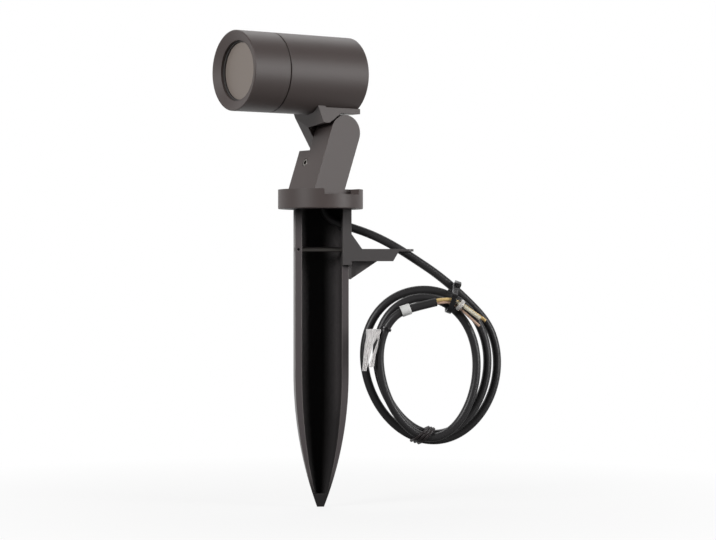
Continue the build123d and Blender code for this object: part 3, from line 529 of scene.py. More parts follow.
def apply_modifier(piece: Piece, kind: str, **settings: float | str | bool | int) -> None:
    """Adds a modifier and applies it.

    Args:
        piece: the piece.
        kind: the modifier's type.
        settings: its settings.
    """
    pick(piece)
    modifier = piece.modifiers.new(kind.lower(), kind)
    for name, value in settings.items():
        setattr(modifier, name, value)
    bpy.ops.object.modifier_apply(modifier=modifier.name)


def round_edges(piece: Piece, wall: float) -> None:
    """Rounds the edges of a moulded piece by a share of its wall."""
    apply_modifier(piece, "BEVEL", width=wall * EDGE_SHARE, segments=EDGE_STEPS, limit_method="ANGLE")


def frame_of(origin: Vector, along: Vector, side: Vector) -> Matrix:
    """Matrix whose Z runs along a direction and whose X lies towards a side.

    Args:
        origin: the place.
        along: the direction of Z.
        side: roughly the direction of X.

    Returns:
        The 4 x 4 matrix.
    """
    z_axis = along.normalized()
    x_axis = (side - z_axis * side.dot(z_axis)).normalized()
    y_axis = z_axis.cross(x_axis)
    turned = Matrix((x_axis, y_axis, z_axis)).transposed().to_4x4()
    return Matrix.Translation(origin) @ turned


# --- cable ---
@dataclass(frozen=True)
class CoilShape:
    """The coil's middle line, in millimetres: an oval that tightens, drifts and leans as it winds.

    The angles are degrees; loss, gain and drift are per turn, or per turn squared.
    """

    turns: float = 2.86
    start_angle: float = 50.0
    center: tuple[float, float] = (87.0, -128.6)
    half_size: tuple[float, float] = (61.6, 66.7)
    loss: tuple[float, float] = (13.9, 8.7)
    gain: tuple[float, float] = (1.76, 1.67)
    drift: tuple[float, float] = (5.0, 4.2)
    drift_return: tuple[float, float] = (2.25, 2.35)
    pitch: float = 7.8
    lean: float = 8.4

    def point(self, turn: float, swell: float = 1.0) -> Vector:
        """Middle of the coiled cable.

        Args:
            turn: the number of turns from the coil's start, clockwise as seen from the front.
            swell: factor on the turn's size, for control points that lie outside the line.

        Returns:
            The point, in metres.
        """
        angle = math.radians(self.start_angle) - 2 * math.pi * turn
        size = [self.half_size[k] - self.loss[k] * turn + self.gain[k] * turn ** 2 for k in (0, 1)]
        middle = [self.center[k] + self.drift[k] * turn - self.drift_return[k] * turn ** 2 for k in (0, 1)]
        leaning = self.lean * math.sin(angle) * (1 - math.cos(angle)) / 2
        return Vector((middle[0] + (size[0] * math.cos(angle) - leaning) * swell, -self.pitch * turn,
                       middle[1] + size[1] * math.sin(angle) * swell)) * MM

    def heading(self, turn: float) -> Vector:
        """Unit direction of the coiled cable.

        Args:
            turn: the number of turns from the coil's start.

        Returns:
            The direction.
        """
        small = 1e-4
        return (self.point(turn + small) - self.point(turn - small)).normalized()


@dataclass
class SupplyCable:
    """The rubber cable: out of the base, over the cable arm's eye, and round the coil."""

    coil: CoilShape = CoilShape()
    diameter: float = 7.0 * MM
    points_per_turn: int = 20
    tail: float = 22.0 * MM
    last_run: float = 27.0 * MM
    lead: tuple[tuple[float, float], ...] = (
        (0.0, 17.6), (0.0, 2.0), (9.4, -10.5), (37.0, -18.4), (58.7, -28.6), (80.0, -42.0),
    )
    line: list[Vector] = field(default_factory=list)

    def leaving(self) -> Vector:
        """Direction in which the sheath ends."""
        return self.coil.heading(self.coil.turns)

    def jacket_end(self) -> Vector:
        """Where the sheath ends and the cores come out."""
        return self.coil.point(self.coil.turns) + self.leaving() * self.tail

    def route(self) -> list[Vector]:
        """Control points of the whole cable, from inside the base to the sheath's end.

        Returns:
            The points, in metres.
        """
        points = [Vector((x, 0.0, z)) * MM for x, z in self.lead]
        heading = self.coil.heading(0.0)
        lead_end = self.coil.point(0.0) - heading * self.diameter
        points += [lead_end - heading * self.last_run, lead_end]
        count = round(self.coil.turns * self.points_per_turn)
        swell = 1.0 / math.cos(math.pi / self.points_per_turn)
        points += [self.coil.point(self.coil.turns * step / count, swell) for step in range(1, count)]
        points += [self.coil.point(self.coil.turns), self.jacket_end()]
        return points

    @staticmethod
    def spline_object(name: str, points: list[Vector], radius: float) -> Piece:
        """Makes a smooth tube on one open NURBS spline.

        Args:
            name: the piece's name.
            points: the control points.
            radius: the tube's radius, or 0 for a bare line.

        Returns:
            The curve object.
        """
        curve = bpy.data.curves.new(name, "CURVE")
        curve.dimensions = "3D"
        curve.bevel_depth = radius
        curve.bevel_resolution = QUARTER_STEPS
        curve.use_fill_caps = True
        curve.resolution_u = SPLINE_STEPS
        spline = curve.splines.new("NURBS")
        spline.points.add(len(points) - 1)
        for point, middle in zip(spline.points, points):
            point.co = (*middle, 1.0)
        spline.order_u = SPLINE_ORDER
        spline.use_endpoint_u = True
        return placed(name, curve)

    def build(self) -> Piece:
        """Builds the cable and reads its middle line.

        Returns:
            The cable.
        """
        points = self.route()
        bare = self.spline_object("cable_line", points, 0.0)
        mesh = bpy.data.meshes.new_from_object(bare)
        self.line = [vertex.co.copy() for vertex in mesh.vertices]
        bpy.data.objects.remove(bare)
        bpy.data.meshes.remove(mesh)
        cable = self.spline_object("supply_cable", points, self.diameter / 2)
        give(cable, RUBBER_SHEATH)
        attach(cable, "spike")
        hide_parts("cord_lead", "cord_coil")
        log.info("cable of %d line points, %.3f m", len(self.line), self.length())
        return cable

    def length(self) -> float:
        """Length of the middle line."""
        return sum((b - a).length for a, b in zip(self.line, self.line[1:]))

    def nearest(self, place: Vector) -> tuple[Vector, Vector]:
        """Point and direction of the line nearest to a place.

        Args:
            place: the place.

        Returns:
            The point and the unit direction there.
        """
        spot = min(range(1, len(self.line) - 1), key=lambda i: (self.line[i] - place).length)
        return self.line[spot], (self.line[spot + 1] - self.line[spot - 1]).normalized()

    def crossings(self, origin: Vector, normal: Vector, reach: float) -> list[Vector]:
        """Points where the line passes through a plane close to a place.

        Args:
            origin: the place, on the plane.
            normal: the plane's normal.
            reach: how far from the place they may be.

        Returns:
            The points.
        """
        found = []
        for start, end in zip(self.line, self.line[1:]):
            before = (start - origin).dot(normal)
            after = (end - origin).dot(normal)
            if before * after <= 0 and before != after:
                point = start.lerp(end, before / (before - after))
                if (point - origin).length < reach:
                    found.append(point)
        return found


@dataclass(frozen=True)
class Core:
    """One core of the cable: its finish, its places in the sheath and past the elbow, its run and fall."""

    name: str
    finish: Finish
    diameter: float
    place: tuple[float, float]
    far_place: tuple[float, float]
    run: float
    fall: float


@dataclass
class CoreBundle:
    """The three cores past the sheath's end; falls are degrees below the horizontal."""

    cable: SupplyCable
    straight: float = 4.0 * MM
    elbow_at: tuple[float, float] = (108.5 * MM, -75.5 * MM)
    ease_in: float = 3.0 * MM
    ease_out: float = 6.0 * MM
    run_share: float = 0.6
    fall: float = 39.0
    tie_fall: float = 20.0
    cores: tuple[Core, ...] = (
        Core("ochre", CORE_OCHRE, 2.9 * MM, (1.5 * MM, -0.8 * MM), (1.2 * MM, 0.6 * MM), 30.5 * MM, 35.0),
        Core("tan", CORE_TAN, 2.2 * MM, (-1.5 * MM, -0.8 * MM), (-1.8 * MM, -0.6 * MM), 28.0 * MM, 42.5),
        Core("cream", CORE_CREAM, 3.2 * MM, (0.0, 1.8 * MM), (0.7 * MM, -2.4 * MM), 25.0 * MM, 37.0),
    )

    @staticmethod
    def falling(angle: float) -> Vector:
        """Direction to the right and down, at an angle in degrees."""
        return Vector((math.cos(math.radians(angle)), 0.0, -math.sin(math.radians(angle))))

    def elbow(self) -> Vector:
        """Where the cores turn down."""
        return Vector((self.elbow_at[0], self.cable.jacket_end().y, self.elbow_at[1]))

    def route(self, core: Core) -> list[Vector]:
        """Control points of one core.

        Args:
            core: the core.

        Returns:
            The points, in metres.
        """
        leaving = self.cable.leaving()
        heading = self.falling(core.fall)
        lift = self.falling(self.tie_fall - 90.0)
        beyond = self.elbow() + lift * core.far_place[0] + Vector((0.0, core.far_place[1], 0.0))
        offset = lift * core.place[0] + Vector((0.0, core.place[1], 0.0))
        start = self.cable.jacket_end() + offset - leaving * offset.dot(leaving)
        elbow = self.elbow() + offset
        inward = (elbow - start - leaving * self.straight).normalized()
        return [start, start + leaving * self.straight, elbow - inward * self.ease_in,
                beyond + heading * self.ease_out, beyond + heading * core.run * self.run_share,
                beyond + heading * core.run]

    def build(self) -> list[Piece]:
        """Builds the cores.

        Returns:
            The three cores.
        """
        pieces = []
        for core in self.cores:
            piece = self.cable.spline_object(f"core_{core.name}", self.route(core), core.diameter / 2)
            give(piece, core.finish)
            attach(piece, "spike")
            pieces.append(piece)
        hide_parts("conductors")
        return pieces


@dataclass(frozen=True)
class Strap:
    """A closed strap round a bundle of cables, rounded at its corners.

    A face is an outer one past outer_share of the band, and a tooth's strip under strip_share of a
    tooth's area. The strips are a little narrower than the pitch, by tooth_count_share.
    """

    width: float
    band: float
    edge: float = 0.18 * MM
    tooth: float = 0.0
    tooth_pitch: float = 0.0
    corner_segments: int = 8
    edge_segments: int = 3
    least_teeth: int = 4
    outer_share: float = 0.9
    strip_share: float = 1.2
    tooth_count_share: float = 1.02
    tooth_taper: Point = (0.98, 0.98, 0.7)

    def strips(self, piece: Piece) -> list[int]:
        """Counts the teeth that fit on each edge, none on an upright one.

        Args:
            piece: the strap while it is still a single wall.

        Returns:
            The number of teeth on each edge.
        """
        counts = []
        for edge in piece.data.edges:
            start, end = (piece.data.vertices[i].co for i in edge.vertices)
            level = abs(end.z - start.z) < self.tooth
            counts.append(round((end - start).length / self.tooth_pitch) if level else 0)
        return counts

    def split_sides(self, piece: Piece) -> None:
        """Cuts the strap's straight sides across into tooth-wide strips.

        Args:
            piece: the strap while it is still a single wall.
        """
        for cuts in sorted(count for count in set(self.strips(piece)) if count > self.least_teeth):
            edit_chosen(piece, Part.EDGES, [count == cuts for count in self.strips(piece)])
            bpy.ops.mesh.subdivide(number_cuts=cuts)
            bpy.ops.object.mode_set(mode="OBJECT")

    def raise_teeth(self, piece: Piece, size: tuple[float, float]) -> None:
        """Raises every other strip of the outer face into a tooth.

        Args:
            piece: the strap, already thick.
            size: the inner size of the loop.
        """
        chosen = []
        for polygon in piece.data.polygons:
            outer = [abs(polygon.center[k]) - size[k] / 2 > self.band * self.outer_share for k in (0, 1)]
            along = polygon.center[1 if outer[0] else 0]
            narrow = polygon.area < self.width * self.tooth_pitch * self.strip_share
            odd = math.floor(along / self.tooth_pitch * self.tooth_count_share) % 2 == 1
            chosen.append(outer[0] != outer[1] and narrow and odd)
        edit_chosen(piece, Part.FACES, chosen)
        bpy.ops.mesh.extrude_region_shrink_fatten(TRANSFORM_OT_shrink_fatten={"value": self.tooth})
        bpy.ops.transform.resize(value=self.tooth_taper)
        bpy.ops.object.mode_set(mode="OBJECT")

    def loop(self, size: tuple[float, float], radius: float) -> Piece:
        """Models one loop about the origin, its axis along Z.

        Args:
            size: the inner width and depth of the loop.
            radius: the rounding of its corners.

        Returns:
            The loop.
        """
        deselect()
        bpy.ops.mesh.primitive_plane_add(size=1.0, location=(0, 0, -self.width / 2))
        piece = sized((size[0], size[1], 1.0))
        bpy.ops.object.mode_set(mode="EDIT")
        bpy.ops.mesh.select_all(action="SELECT")
        bpy.ops.mesh.bevel(offset=radius, segments=self.corner_segments, affect="VERTICES")
        bpy.ops.mesh.select_all(action="SELECT")
        bpy.ops.mesh.delete(type="ONLY_FACE")
        bpy.ops.mesh.select_all(action="SELECT")
        bpy.ops.mesh.extrude_edges_move(TRANSFORM_OT_translate={"value": (0, 0, self.width)})
        bpy.ops.mesh.select_all(action="SELECT")
        bpy.ops.mesh.normals_make_consistent(inside=False)
        bpy.ops.object.mode_set(mode="OBJECT")
        if self.tooth:
            self.split_sides(piece)
        apply_modifier(piece, "SOLIDIFY", thickness=self.band, offset=1.0)
        if self.tooth:
            self.raise_teeth(piece, size)
        apply_modifier(piece, "BEVEL", width=self.edge, segments=self.edge_segments, limit_method="ANGLE")
        return piece


@dataclass(frozen=True)
class TieHead:
    """The head of a cable tie, with its window and the cut end of the strap."""

    length: float = 5.6 * MM
    height: float = 3.6 * MM
    depth: float = 5.6 * MM
    rim: float = 1.1 * MM
    window: float = 1.2 * MM
    stub: float = 1.4 * MM

    def build(self) -> Piece:
        """Models the head about the origin, the strap's way along X and the tie's axis along Z.

        Returns:
            The head.
        """
        deselect()
        bpy.ops.mesh.primitive_cube_add(size=1.0)
        piece = sized((self.depth, self.height, self.length))
        for direction, reach in ((-1, self.stub), (1, self.window)):
            ends = [face.center.x * direction for face in piece.data.polygons]
            edit_chosen(piece, Part.FACES, [end == max(ends) for end in ends])
            bpy.ops.mesh.inset(thickness=self.rim)
            bpy.ops.mesh.extrude_region_move(TRANSFORM_OT_translate={"value": (-reach, 0, 0)})
            bpy.ops.object.mode_set(mode="OBJECT")
        round_edges(piece, self.rim)
        return piece


@dataclass(frozen=True)
class PaperLeaf:
    """One hanging strip of the tag: its cross-sections from the top down, as (left, right, height)."""

    rows: tuple[tuple[float, float, float], ...]
    folds: int = 3
    fold_depth: float = 1.0 * MM
    crumple: float = 0.22 * MM
    thickness: float = 0.16 * MM
    seed: int = 3
    level_share: float = 0.01

    def build(self, front: float) -> Piece:
        """Models the strip by drawing its top edge downwards, row by row.

        Args:
            front: the place of the strip on the Y axis.

        Returns:
            The strip.
        """
        left, right, top = (value * MM for value in self.rows[0])
        middle, width, pleats = (left + right) / 2, right - left, 2 * self.folds
        step = (top - self.rows[1][2] * MM) / 2
        deselect()
        bpy.ops.mesh.primitive_grid_add(x_subdivisions=pleats, y_subdivisions=1, size=1.0,
                                        location=(middle, front, top - step / 2),
                                        rotation=(math.pi / 2, 0.0, 0.0))
        piece = sized((width, step, 1.0))
        edit_chosen(piece, Part.CORNERS, [round((vertex.co.x - left) / width * pleats) % 2 == 1
                                          for vertex in piece.data.vertices])
        bpy.ops.transform.translate(value=(0.0, -self.fold_depth, 0.0))
        bpy.ops.object.mode_set(mode="OBJECT")
        low = top - step
        for row in self.rows[1:]:
            row_left, row_right, height = (value * MM for value in row)
            at_edge = [abs(vertex.co.z - low) < step * self.level_share for vertex in piece.data.vertices]
            edit_chosen(piece, Part.EDGES,
                        [all(at_edge[i] for i in edge.vertices) for edge in piece.data.edges])
            next_middle, next_width = (row_left + row_right) / 2, row_right - row_left
            bpy.ops.mesh.extrude_edges_move(TRANSFORM_OT_translate={
                "value": (next_middle - middle, 0.0, height - low)})
            bpy.ops.transform.resize(value=(next_width / width, 1.0, 1.0),
                                     center_override=(next_middle, front, height))
            bpy.ops.object.mode_set(mode="OBJECT")
            low, middle, width = height, next_middle, next_width
        self.crinkle(piece)
        return piece

    def crinkle(self, piece: Piece) -> None:
        """Crumples the pleated strip and gives it a thickness.

        Args:
            piece: the pleated strip.
        """
        apply_modifier(piece, "SUBSURF", levels=1, subdivision_type="SIMPLE")
        bpy.ops.object.mode_set(mode="EDIT")
        bpy.ops.mesh.select_all(action="SELECT")
        bpy.ops.transform.vertex_random(offset=self.crumple, seed=self.seed)
        bpy.ops.object.mode_set(mode="OBJECT")
        apply_modifier(piece, "SOLIDIFY", thickness=self.thickness, offset=0.0)


@dataclass
class CoilDressing:
    """What sits on the coil: two ties, the marker sleeve, the clear wrap and the tag.

    Places along the cable are turns of the coil, and rounding is a share of a tie's shorter side.
    """

    cable: SupplyCable
    cores: CoreBundle
    clearance: float = 0.5 * MM
    rounding: float = 0.46
    reach: float = 24.0 * MM
    tie_place: tuple[float, float] = (107.7 * MM, -72.5 * MM)
    toothed: Strap = Strap(width=4.4 * MM, band=1.2 * MM, tooth=0.5 * MM, tooth_pitch=1.2 * MM)
    plain: Strap = Strap(width=2.2 * MM, band=1.4 * MM, edge=0.6 * MM)
    head: TieHead = TieHead()
    head_back: float = 8.0 * MM
    head_side: float = 1.8 * MM
    lower_turn: float = 1.424
    lower_pitch: float = 2.7 * MM
    lower_tilts: tuple[float, ...] = (27.0, 31.0, 34.0)
    marker_turn: float = 2.845
    marker_length: float = 8.0 * MM
    slack: float = 0.6 * MM
    sleeve_wall: float = 0.5 * MM
    wrap_place: float = 3.6 * MM
    wrap_bore: float = 3.5 * MM
    wrap_wall: float = 1.4 * MM
    wrap_length: float = 3.5 * MM
    tag_turn: float = 2.757
    crease_deg: float = 8.0
    tag_loop: float = 2.4 * MM
    leaves: tuple[PaperLeaf, ...] = (
        PaperLeaf(((34.7, 43.6, -98.2), (33.5, 40.2, -111.2), (32.5, 37.5, -121.0), (31.5, 34.7, -132.4))),
        PaperLeaf(((43.9, 46.4, -98.3), (43.9, 45.6, -103.5), (44.2, 45.2, -107.6), (40.1, 42.4, -119.0),
                   (36.6, 41.1, -129.2)), folds=2),
    )
    loop_strip: PaperLeaf = PaperLeaf(((38.0, 47.0, -98.5), (38.0, 47.0, -99.6), (38.0, 47.0, -100.7)),
                                      folds=1, fold_depth=0.1 * MM, crumple=0.02 * MM)

    def bundle(self, origin: Vector, along: Vector, extra: list[Vector]) -> tuple[Matrix, float, float]:
        """Box round the cables that pass through a plane.

        Args:
            origin: a place on the plane.
            along: the plane's normal.
            extra: further middles to take in.

        Returns:
            The box's frame, with X along the row of cables to the rear, and its inner length and height.
        """
        middles = self.cable.crossings(origin, along, self.reach) + extra
        first, last = max(combinations(middles, 2), key=lambda pair: (pair[0] - pair[1]).length)
        upward = max(first - last, last - first, key=lambda way: way.y)
        inverse = frame_of(origin, along, upward).inverted()
        local = [inverse @ point for point in middles]
        low = [min(p[k] for p in local) for k in (0, 1)]
        high = [max(p[k] for p in local) for k in (0, 1)]
        middle = inverse.inverted() @ Vector(((low[0] + high[0]) / 2, (low[1] + high[1]) / 2, 0))
        margin = self.cable.diameter + 2 * self.clearance
        return (frame_of(middle, along, upward), high[0] - low[0] + margin, high[1] - low[1] + margin)

    @staticmethod
    def joined(pieces: list[Piece], name: str) -> Piece:
        """Joins loose pieces into one object.

        Args:
            pieces: the pieces.
            name: the name of the whole.

        Returns:
            The joined object.
        """
        pick(*pieces)
        bpy.ops.object.join()
        pieces[0].name = name
        return pieces[0]

    @staticmethod
    def settle(piece: Piece, finish: AnyFinish, node: str, slot: str) -> Piece:
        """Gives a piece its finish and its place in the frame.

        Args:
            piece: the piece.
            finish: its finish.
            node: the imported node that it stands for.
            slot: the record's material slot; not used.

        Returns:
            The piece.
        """
        give(piece, finish)
        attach(piece, "spike")
        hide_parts(node)
        return piece

    def upper_tie(self) -> Piece:
        """Builds the toothed tie with its head.

        Returns:
            The tie.
        """
        heading = self.cores.falling(self.cores.tie_fall)
        origin = Vector((self.tie_place[0], self.cable.jacket_end().y / 2, self.tie_place[1]))
        elbow = self.cores.elbow()
        cores_middle = elbow - heading * (elbow - origin).dot(heading)
        where, depth, height = self.bundle(origin, heading, [cores_middle])
        strap = self.toothed.loop((depth, height), min(depth, height) * self.rounding)
        finish_piece(strap, "upper_tie_strap", where)
        head = self.head.build()
        corner = (depth / 2 - self.head_back, (height + self.head.height) / 2, self.head_side)
        finish_piece(head, "upper_tie_head", where @ Matrix.Translation(corner))
        return self.settle(self.joined([strap, head], "upper_tie"), NYLON_TIE, "tie_upper", "tie_plastic")

    def lower_tie(self) -> Piece:
        """Builds the tie that goes three times round the bottom of the coil.

        Returns:
            The tie.
        """
        origin, along = self.cable.nearest(self.cable.coil.point(self.lower_turn))
        where, depth, height = self.bundle(origin, along, [])
        loops, middle_wrap = [], (len(self.lower_tilts) - 1) / 2
        for wrap, tilt in enumerate(self.lower_tilts):
            slant = height / math.cos(math.radians(tilt))
            piece = self.plain.loop((depth, slant), min(depth, slant) * self.rounding)
            shift = Matrix.Translation((0, 0, (wrap - middle_wrap) * self.lower_pitch))
            turned = Matrix.Rotation(math.radians(tilt), 4, "X")
            finish_piece(piece, f"lower_tie_{wrap}", where @ shift @ turned)
            loops.append(piece)
        return self.settle(self.joined(loops, "lower_tie"), SOFT_TIE, "tie_lower", "tie_plastic")

    @staticmethod
    def tube(name: str, where: Matrix, bore: float, wall: float, length: float) -> Piece:
        """Models an open tube along Z with rounded ends.

        Args:
            name: the piece's name.
            where: the frame of its middle.
            bore: the inner radius.
            wall: the wall thickness.
            length: the length.

        Returns:
            The tube.
        """
        deselect()
        bpy.ops.mesh.primitive_cylinder_add(vertices=ROUND_SIDES, radius=bore, depth=length,
                                            end_fill_type="NOTHING")
        piece = bpy.context.object
        apply_modifier(piece, "SOLIDIFY", thickness=wall, offset=1.0)
        round_edges(piece, wall)
        finish_piece(piece, name, where)
        return piece

    def loose_bore(self) -> float:
        """Inner radius of what sits loosely on the cable."""
        return self.cable.diameter / 2 + self.slack

    def marker(self) -> Piece:
        """Builds the plain white marker sleeve.

        Returns:
            The sleeve.
        """
        origin, along = self.cable.nearest(self.cable.coil.point(self.marker_turn))
        where = frame_of(origin, along, TO_REAR)
        piece = self.tube("marker_sleeve_white", where, self.loose_bore(), self.sleeve_wall,
                          self.marker_length)
        return self.settle(piece, MARKER_SLEEVE, "marker_sleeve", "white_plastic")

    def wrap(self) -> Piece:
        """Builds the clouded clear film round the cores.

        Returns:
            The film.
        """
        heading = self.cores.falling(self.cores.fall)
        origin = self.cores.elbow() + heading * (self.wrap_place + self.wrap_length / 2)
        where = frame_of(origin, heading, TO_REAR)
        piece = self.tube("clear_wrap", where, self.wrap_bore, self.wrap_wall, self.wrap_length)
        return self.settle(piece, CLEAR_FILM, "core_wrap", "clear_plastic")

    def tag(self) -> Piece:
        """Builds the blank paper tag: two creased strips.

        Returns:
            The tag.
        """
        origin, _ = self.cable.nearest(self.cable.coil.point(self.tag_turn))
        front = origin.y - self.loose_bore()
        strips = [leaf.build(front) for leaf in self.leaves]
        for strip in strips:
            finish_piece(strip, "tag_strip", Matrix.Identity(4), self.crease_deg)
        return self.settle(self.joined(strips, "cable_tag_paper"), TAG_PAPER, "cable_tag", "tag_paper")

    def tag_holder(self) -> Piece:
        """Builds the dark loop that holds the tag on the cable.

        Returns:
            The loop.
        """
        origin, along = self.cable.nearest(self.cable.coil.point(self.tag_turn))
        bore = self.loose_bore()
        loop = self.tube("tag_loop_band", frame_of(origin, along, TO_REAR), bore,
                         self.sleeve_wall, self.tag_loop)
        strip = self.loop_strip.build(origin.y - bore + self.sleeve_wall)
        finish_piece(strip, "tag_loop_strip", Matrix.Identity(4))
        holder = self.joined([loop, strip], "tag_loop")
        give(holder, NYLON_TIE)
        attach(holder, "spike")
        return holder

    def build(self) -> list[Piece]:
        """Builds all that sits on the coil.

        Returns:
            The pieces.
        """
        return [self.upper_tie(), self.lower_tie(), self.marker(), self.wrap(),
                self.tag(), self.tag_holder()]


# --- studio ---
@dataclass(frozen=True)
class SoftBox:
    """One soft area lamp aimed at the light's middle."""

    name: str
    azimuth: float
    elevation: float
    distance: float
    size: tuple[float, float]
    power: float

    def build(self, aim: Vector) -> Piece:
        """Adds the lamp.

        Args:
            aim: the point it shines at.

        Returns:
            The lamp.
        """
        azimuth, elevation = math.radians(self.azimuth), math.radians(self.elevation)
        offset = Vector((math.sin(azimuth) * math.cos(elevation), -math.cos(azimuth) * math.cos(elevation),
                         math.sin(elevation))) * self.distance
        lamp = bpy.data.lights.new(self.name, "AREA")
        lamp.shape = "RECTANGLE"
        lamp.size, lamp.size_y = self.size
        lamp.energy = self.power
        piece = placed(self.name, lamp)
        piece.location = aim + offset
        piece.rotation_euler = (-offset).to_track_quat("-Z", "Y").to_euler()
        piece.visible_camera = False
        return piece


@dataclass
class Studio:
    """Camera at the photograph's viewpoint, pale floor, white surround and soft lamps.

    To the camera the floor glows by floor_share, from the near to the far floor_reach. On the object
    it shines by floor_front before it and fully behind it, over floor_turn. The surround goes from
    glow_front to glow_behind over glow_edge, and matt faces get matt_share of it.
    """

    image_width: float = 716.0
    focal_pixels: float = 2200.0
    sensor: float = 36.0
    clip: tuple[float, float] = (0.05, 50.0)
    camera_at: Point = (-0.1902, -1.8023, -0.0501)
    look: tuple[float, float] = (0.12187, 0.99255)
    floor_height: float = -0.2455
    floor_size: float = 12.0
    floor_share: tuple[float, float] = (0.86, 1.0)
    floor_turn: tuple[float, float] = (0.0, 0.35)
    floor_front: float = 0.09
    floor_reach: tuple[float, float] = (0.12, 0.5)
    aim: Point = (0.03, 0.0, -0.05)
    glow_front: float = 0.015
    glow_behind: float = 1.0
    glow_edge: tuple[float, float] = (0.05, 0.55)
    matt_share: float = 0.3
    lamps: tuple[SoftBox, ...] = (
        SoftBox("lamp_left", -52.0, 22.0, 1.6, (0.5, 0.5), 15.5),
        SoftBox("lamp_right", 57.0, 10.0, 1.6, (0.5, 1.2), 19.0),
        SoftBox("lamp_top", 180.0, 55.0, 1.6, (1.4, 0.8), 6.0),
    )

    def camera(self) -> None:
        """Adds the camera, level and aimed as the photograph was taken."""
        data = bpy.data.cameras.new("camera")
        data.sensor_fit = "HORIZONTAL"
        data.sensor_width = self.sensor
        data.lens = self.focal_pixels / self.image_width * self.sensor
        data.clip_start, data.clip_end = self.clip
        camera = placed("camera", data)
        camera.location = self.camera_at
        camera.rotation_euler = (math.pi / 2, 0.0, -math.atan2(*self.look))
        bpy.context.scene.camera = camera

    def floor(self) -> None:
        """Adds the pale floor: white to the camera, with the object's shadow kept on it."""
        deselect()
        bpy.ops.mesh.primitive_plane_add(size=self.floor_size, location=(0, 0, self.floor_height))
        floor = sized((1.0, 1.0, 1.0))
        floor.name = "floor"
        material, tree = empty_material("pale_floor")
        path = add_node(tree, "LightPath")
        place = add_node(tree, "TexCoord")
        away = add_node(tree, "VectorMath", {"operation": "LENGTH"}, {0: place.outputs["Object"]})
        near, far = (math.hypot(reach, self.floor_height) for reach in self.floor_reach)
        fade = add_node(tree, "MapRange",
                        {"From Min": near, "From Max": far, "To Min": self.floor_share[0],
                         "To Max": self.floor_share[1]}, {"Value": away.outputs["Value"]})
        plain = add_node(tree, "Math", {"operation": "MULTIPLY"},
                         {0: fade.outputs["Result"], 1: path.outputs["Is Camera Ray"]})
        across = add_node(tree, "SeparateXYZ", {}, {0: place.outputs["Object"]})
        shade = add_node(tree, "MapRange",
                         {"From Min": self.floor_turn[0], "From Max": self.floor_turn[1],
                          "To Min": self.floor_front, "To Max": 1.0}, {"Value": across.outputs["Y"]})
        seen = add_node(tree, "Math", {"operation": "MAXIMUM"},
                        {0: shade.outputs["Result"], 1: path.outputs["Is Camera Ray"]})
        tone = add_node(tree, "HueSaturation", {"Color": linear(PALE_FLOOR)},
                        {"Value": seen.outputs[0]})
        matt = add_node(tree, "BsdfDiffuse", {}, {"Color": tone.outputs["Color"]})
        mirrored = add_node(tree, "Math", {"operation": "MULTIPLY"},
                            {0: shade.outputs["Result"], 1: path.outputs["Is Glossy Ray"]})
        share = add_node(tree, "Math", {"operation": "MAXIMUM"},
                         {0: plain.outputs[0], 1: mirrored.outputs[0]})
        white = add_node(tree, "Emission", {"Color": linear(WHITE), "Strength": 1.0})
        mix = add_node(tree, "MixShader", {},
                       {0: share.outputs[0], 1: matt.outputs[0], 2: white.outputs[0]})
        add_node(tree, "OutputMaterial", {}, {"Surface": mix.outputs[0]})
        floor.data.materials.append(material)

    def surround(self) -> None:
        """Sets the world: white behind the object, dim in front of it and on its matt faces."""
        world = bpy.data.worlds.new("studio")
        bpy.context.scene.world = world
        world.use_nodes = True
        tree = world.node_tree
        tree.nodes.clear()
        path = add_node(tree, "LightPath")
        way = add_node(tree, "TexCoord")
        parts = add_node(tree, "SeparateXYZ", {}, {0: way.outputs["Generated"]})
        behind = add_node(tree, "MapRange",
                          {"From Min": self.glow_edge[0], "From Max": self.glow_edge[1],
                           "To Min": self.glow_front, "To Max": self.glow_behind},
                          {"Value": parts.outputs["Y"]})
        glossy = add_node(tree, "Math", {"operation": "MAXIMUM"},
                          {0: path.outputs["Is Glossy Ray"], 1: path.outputs["Is Transmission Ray"]})
        matt = add_node(tree, "Math", {"operation": "MULTIPLY", 1: self.matt_share},
                        {0: behind.outputs["Result"]})
        inner = add_node(tree, "Mix", {}, {FACTOR: glossy.outputs[0], NUMBER_A: matt.outputs[0],
                                           NUMBER_B: behind.outputs["Result"]})
        outer = add_node(tree, "Mix", {NUMBER_B: 1.0},
                         {FACTOR: path.outputs["Is Camera Ray"], NUMBER_A: inner.outputs[0]})
        background = add_node(tree, "Background", {"Color": linear(WHITE)},
                              {"Strength": outer.outputs[0]})
        add_node(tree, "OutputWorld", {}, {"Surface": background.outputs[0]})

    def build(self) -> None:
        """Builds the whole studio."""
        self.camera()
        self.floor()
        self.surround()
        for lamp in self.lamps:
            lamp.build(Vector(self.aim))
        bpy.context.scene.view_settings.view_transform = "Standard"


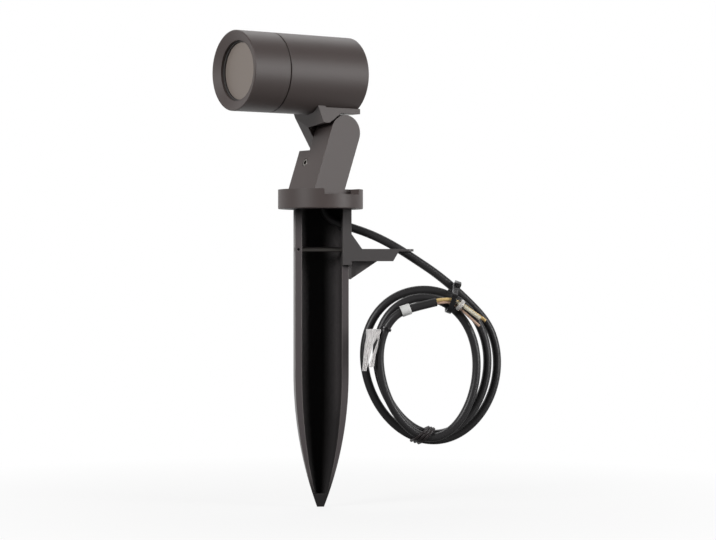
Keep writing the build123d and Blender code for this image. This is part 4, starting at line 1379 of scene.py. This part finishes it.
# --- sub-assemblies of the light ---
@dataclass(frozen=True, kw_only=True)
class LampHead(SubAssembly):
    """The turned head: ring, glass pack, housing, lamp and foot."""

    finishes: FinishPlan = (
        (POWDER_COAT, (Node.FRONT_RING, Node.HEAD_HOUSING, Node.HEAD_FOOT)),
        (SILICONE_SEAL, (Node.GLASS_GASKET, Node.HOUSING_SEAL)),
        (ETCHED_GLASS, (Node.FRONT_GLASS,)),
        (LAMP_GLASS, (Node.LAMP, Node.LAMP_LENS)),
        (STEATITE, (Node.LAMP_HOLDER,)),
        (STAINLESS, (Node.LAMP_PINS, Node.HOLDER_STRAP, Node.HOLDER_SCREWS, Node.FOOT_SCREWS)),
    )


@dataclass(frozen=True, kw_only=True)
class TiltBracket(SubAssembly):
    """The leaning arm on its base cup, with the pivot."""

    cable: SupplyCable
    lean: float = 19.0
    pan: float = -61.4
    cable_bend: float = 30.0 * MM
    cable_top_run: float = 12.6 * MM
    finishes: FinishPlan = (
        (POWDER_COAT, (Node.BRACKET,)),
        (NYLON_TIE, (Node.PIVOT_WASHER,)),
        (STAINLESS, (Node.ARM_SCREW,)),
        (DARK_SCREW, (Node.PIVOT_BOLT, Node.GRUB_SCREWS)),
    )

    def inner_cable(self) -> Piece:
        """Builds the cable inside the arm, in place of its solid.

        Returns:
            The cable.
        """
        lean, pan = math.radians(self.lean), math.radians(self.pan)
        start = Vector((0.0, 0.0, self.cable.lead[0][1] * MM))
        bend = Vector((0.0, 0.0, self.cable_bend))
        rear = Vector((-math.sin(pan), math.cos(pan), 0.0))
        end = bend + (rear * math.sin(lean) + Vector((0.0, 0.0, math.cos(lean)))) * self.cable_top_run
        piece = self.cable.spline_object("arm_cable_inner", [start, bend, end], self.cable.diameter / 2)
        give(piece, RUBBER_SHEATH)
        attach(piece, "bracket")
        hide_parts("arm_cable")
        return piece


@dataclass(frozen=True, kw_only=True)
class GroundSpike(SubAssembly):
    """The trough-section spike with its cable arm and cross pin."""

    finishes: FinishPlan = (
        (MOULDED_POLYAMIDE, (Node.SPIKE,)),
        (OPEN_POLYAMIDE, (Node.CABLE_ARM,)),
        (STAINLESS, (Node.CROSS_PIN,)),
    )


def main() -> None:
    """Builds and dresses everything in order."""
    Studio().build()
    cable = SupplyCable()
    cores = CoreBundle(cable)
    lead = cable.build()
    on_it = cores.build() + CoilDressing(cable, cores).build()
    LampHead().dress()
    bracket = TiltBracket(cable=cable)
    bracket.dress()
    bracket.inner_cable()
    GroundSpike().dress()


if __name__ == "__main__":
    main()
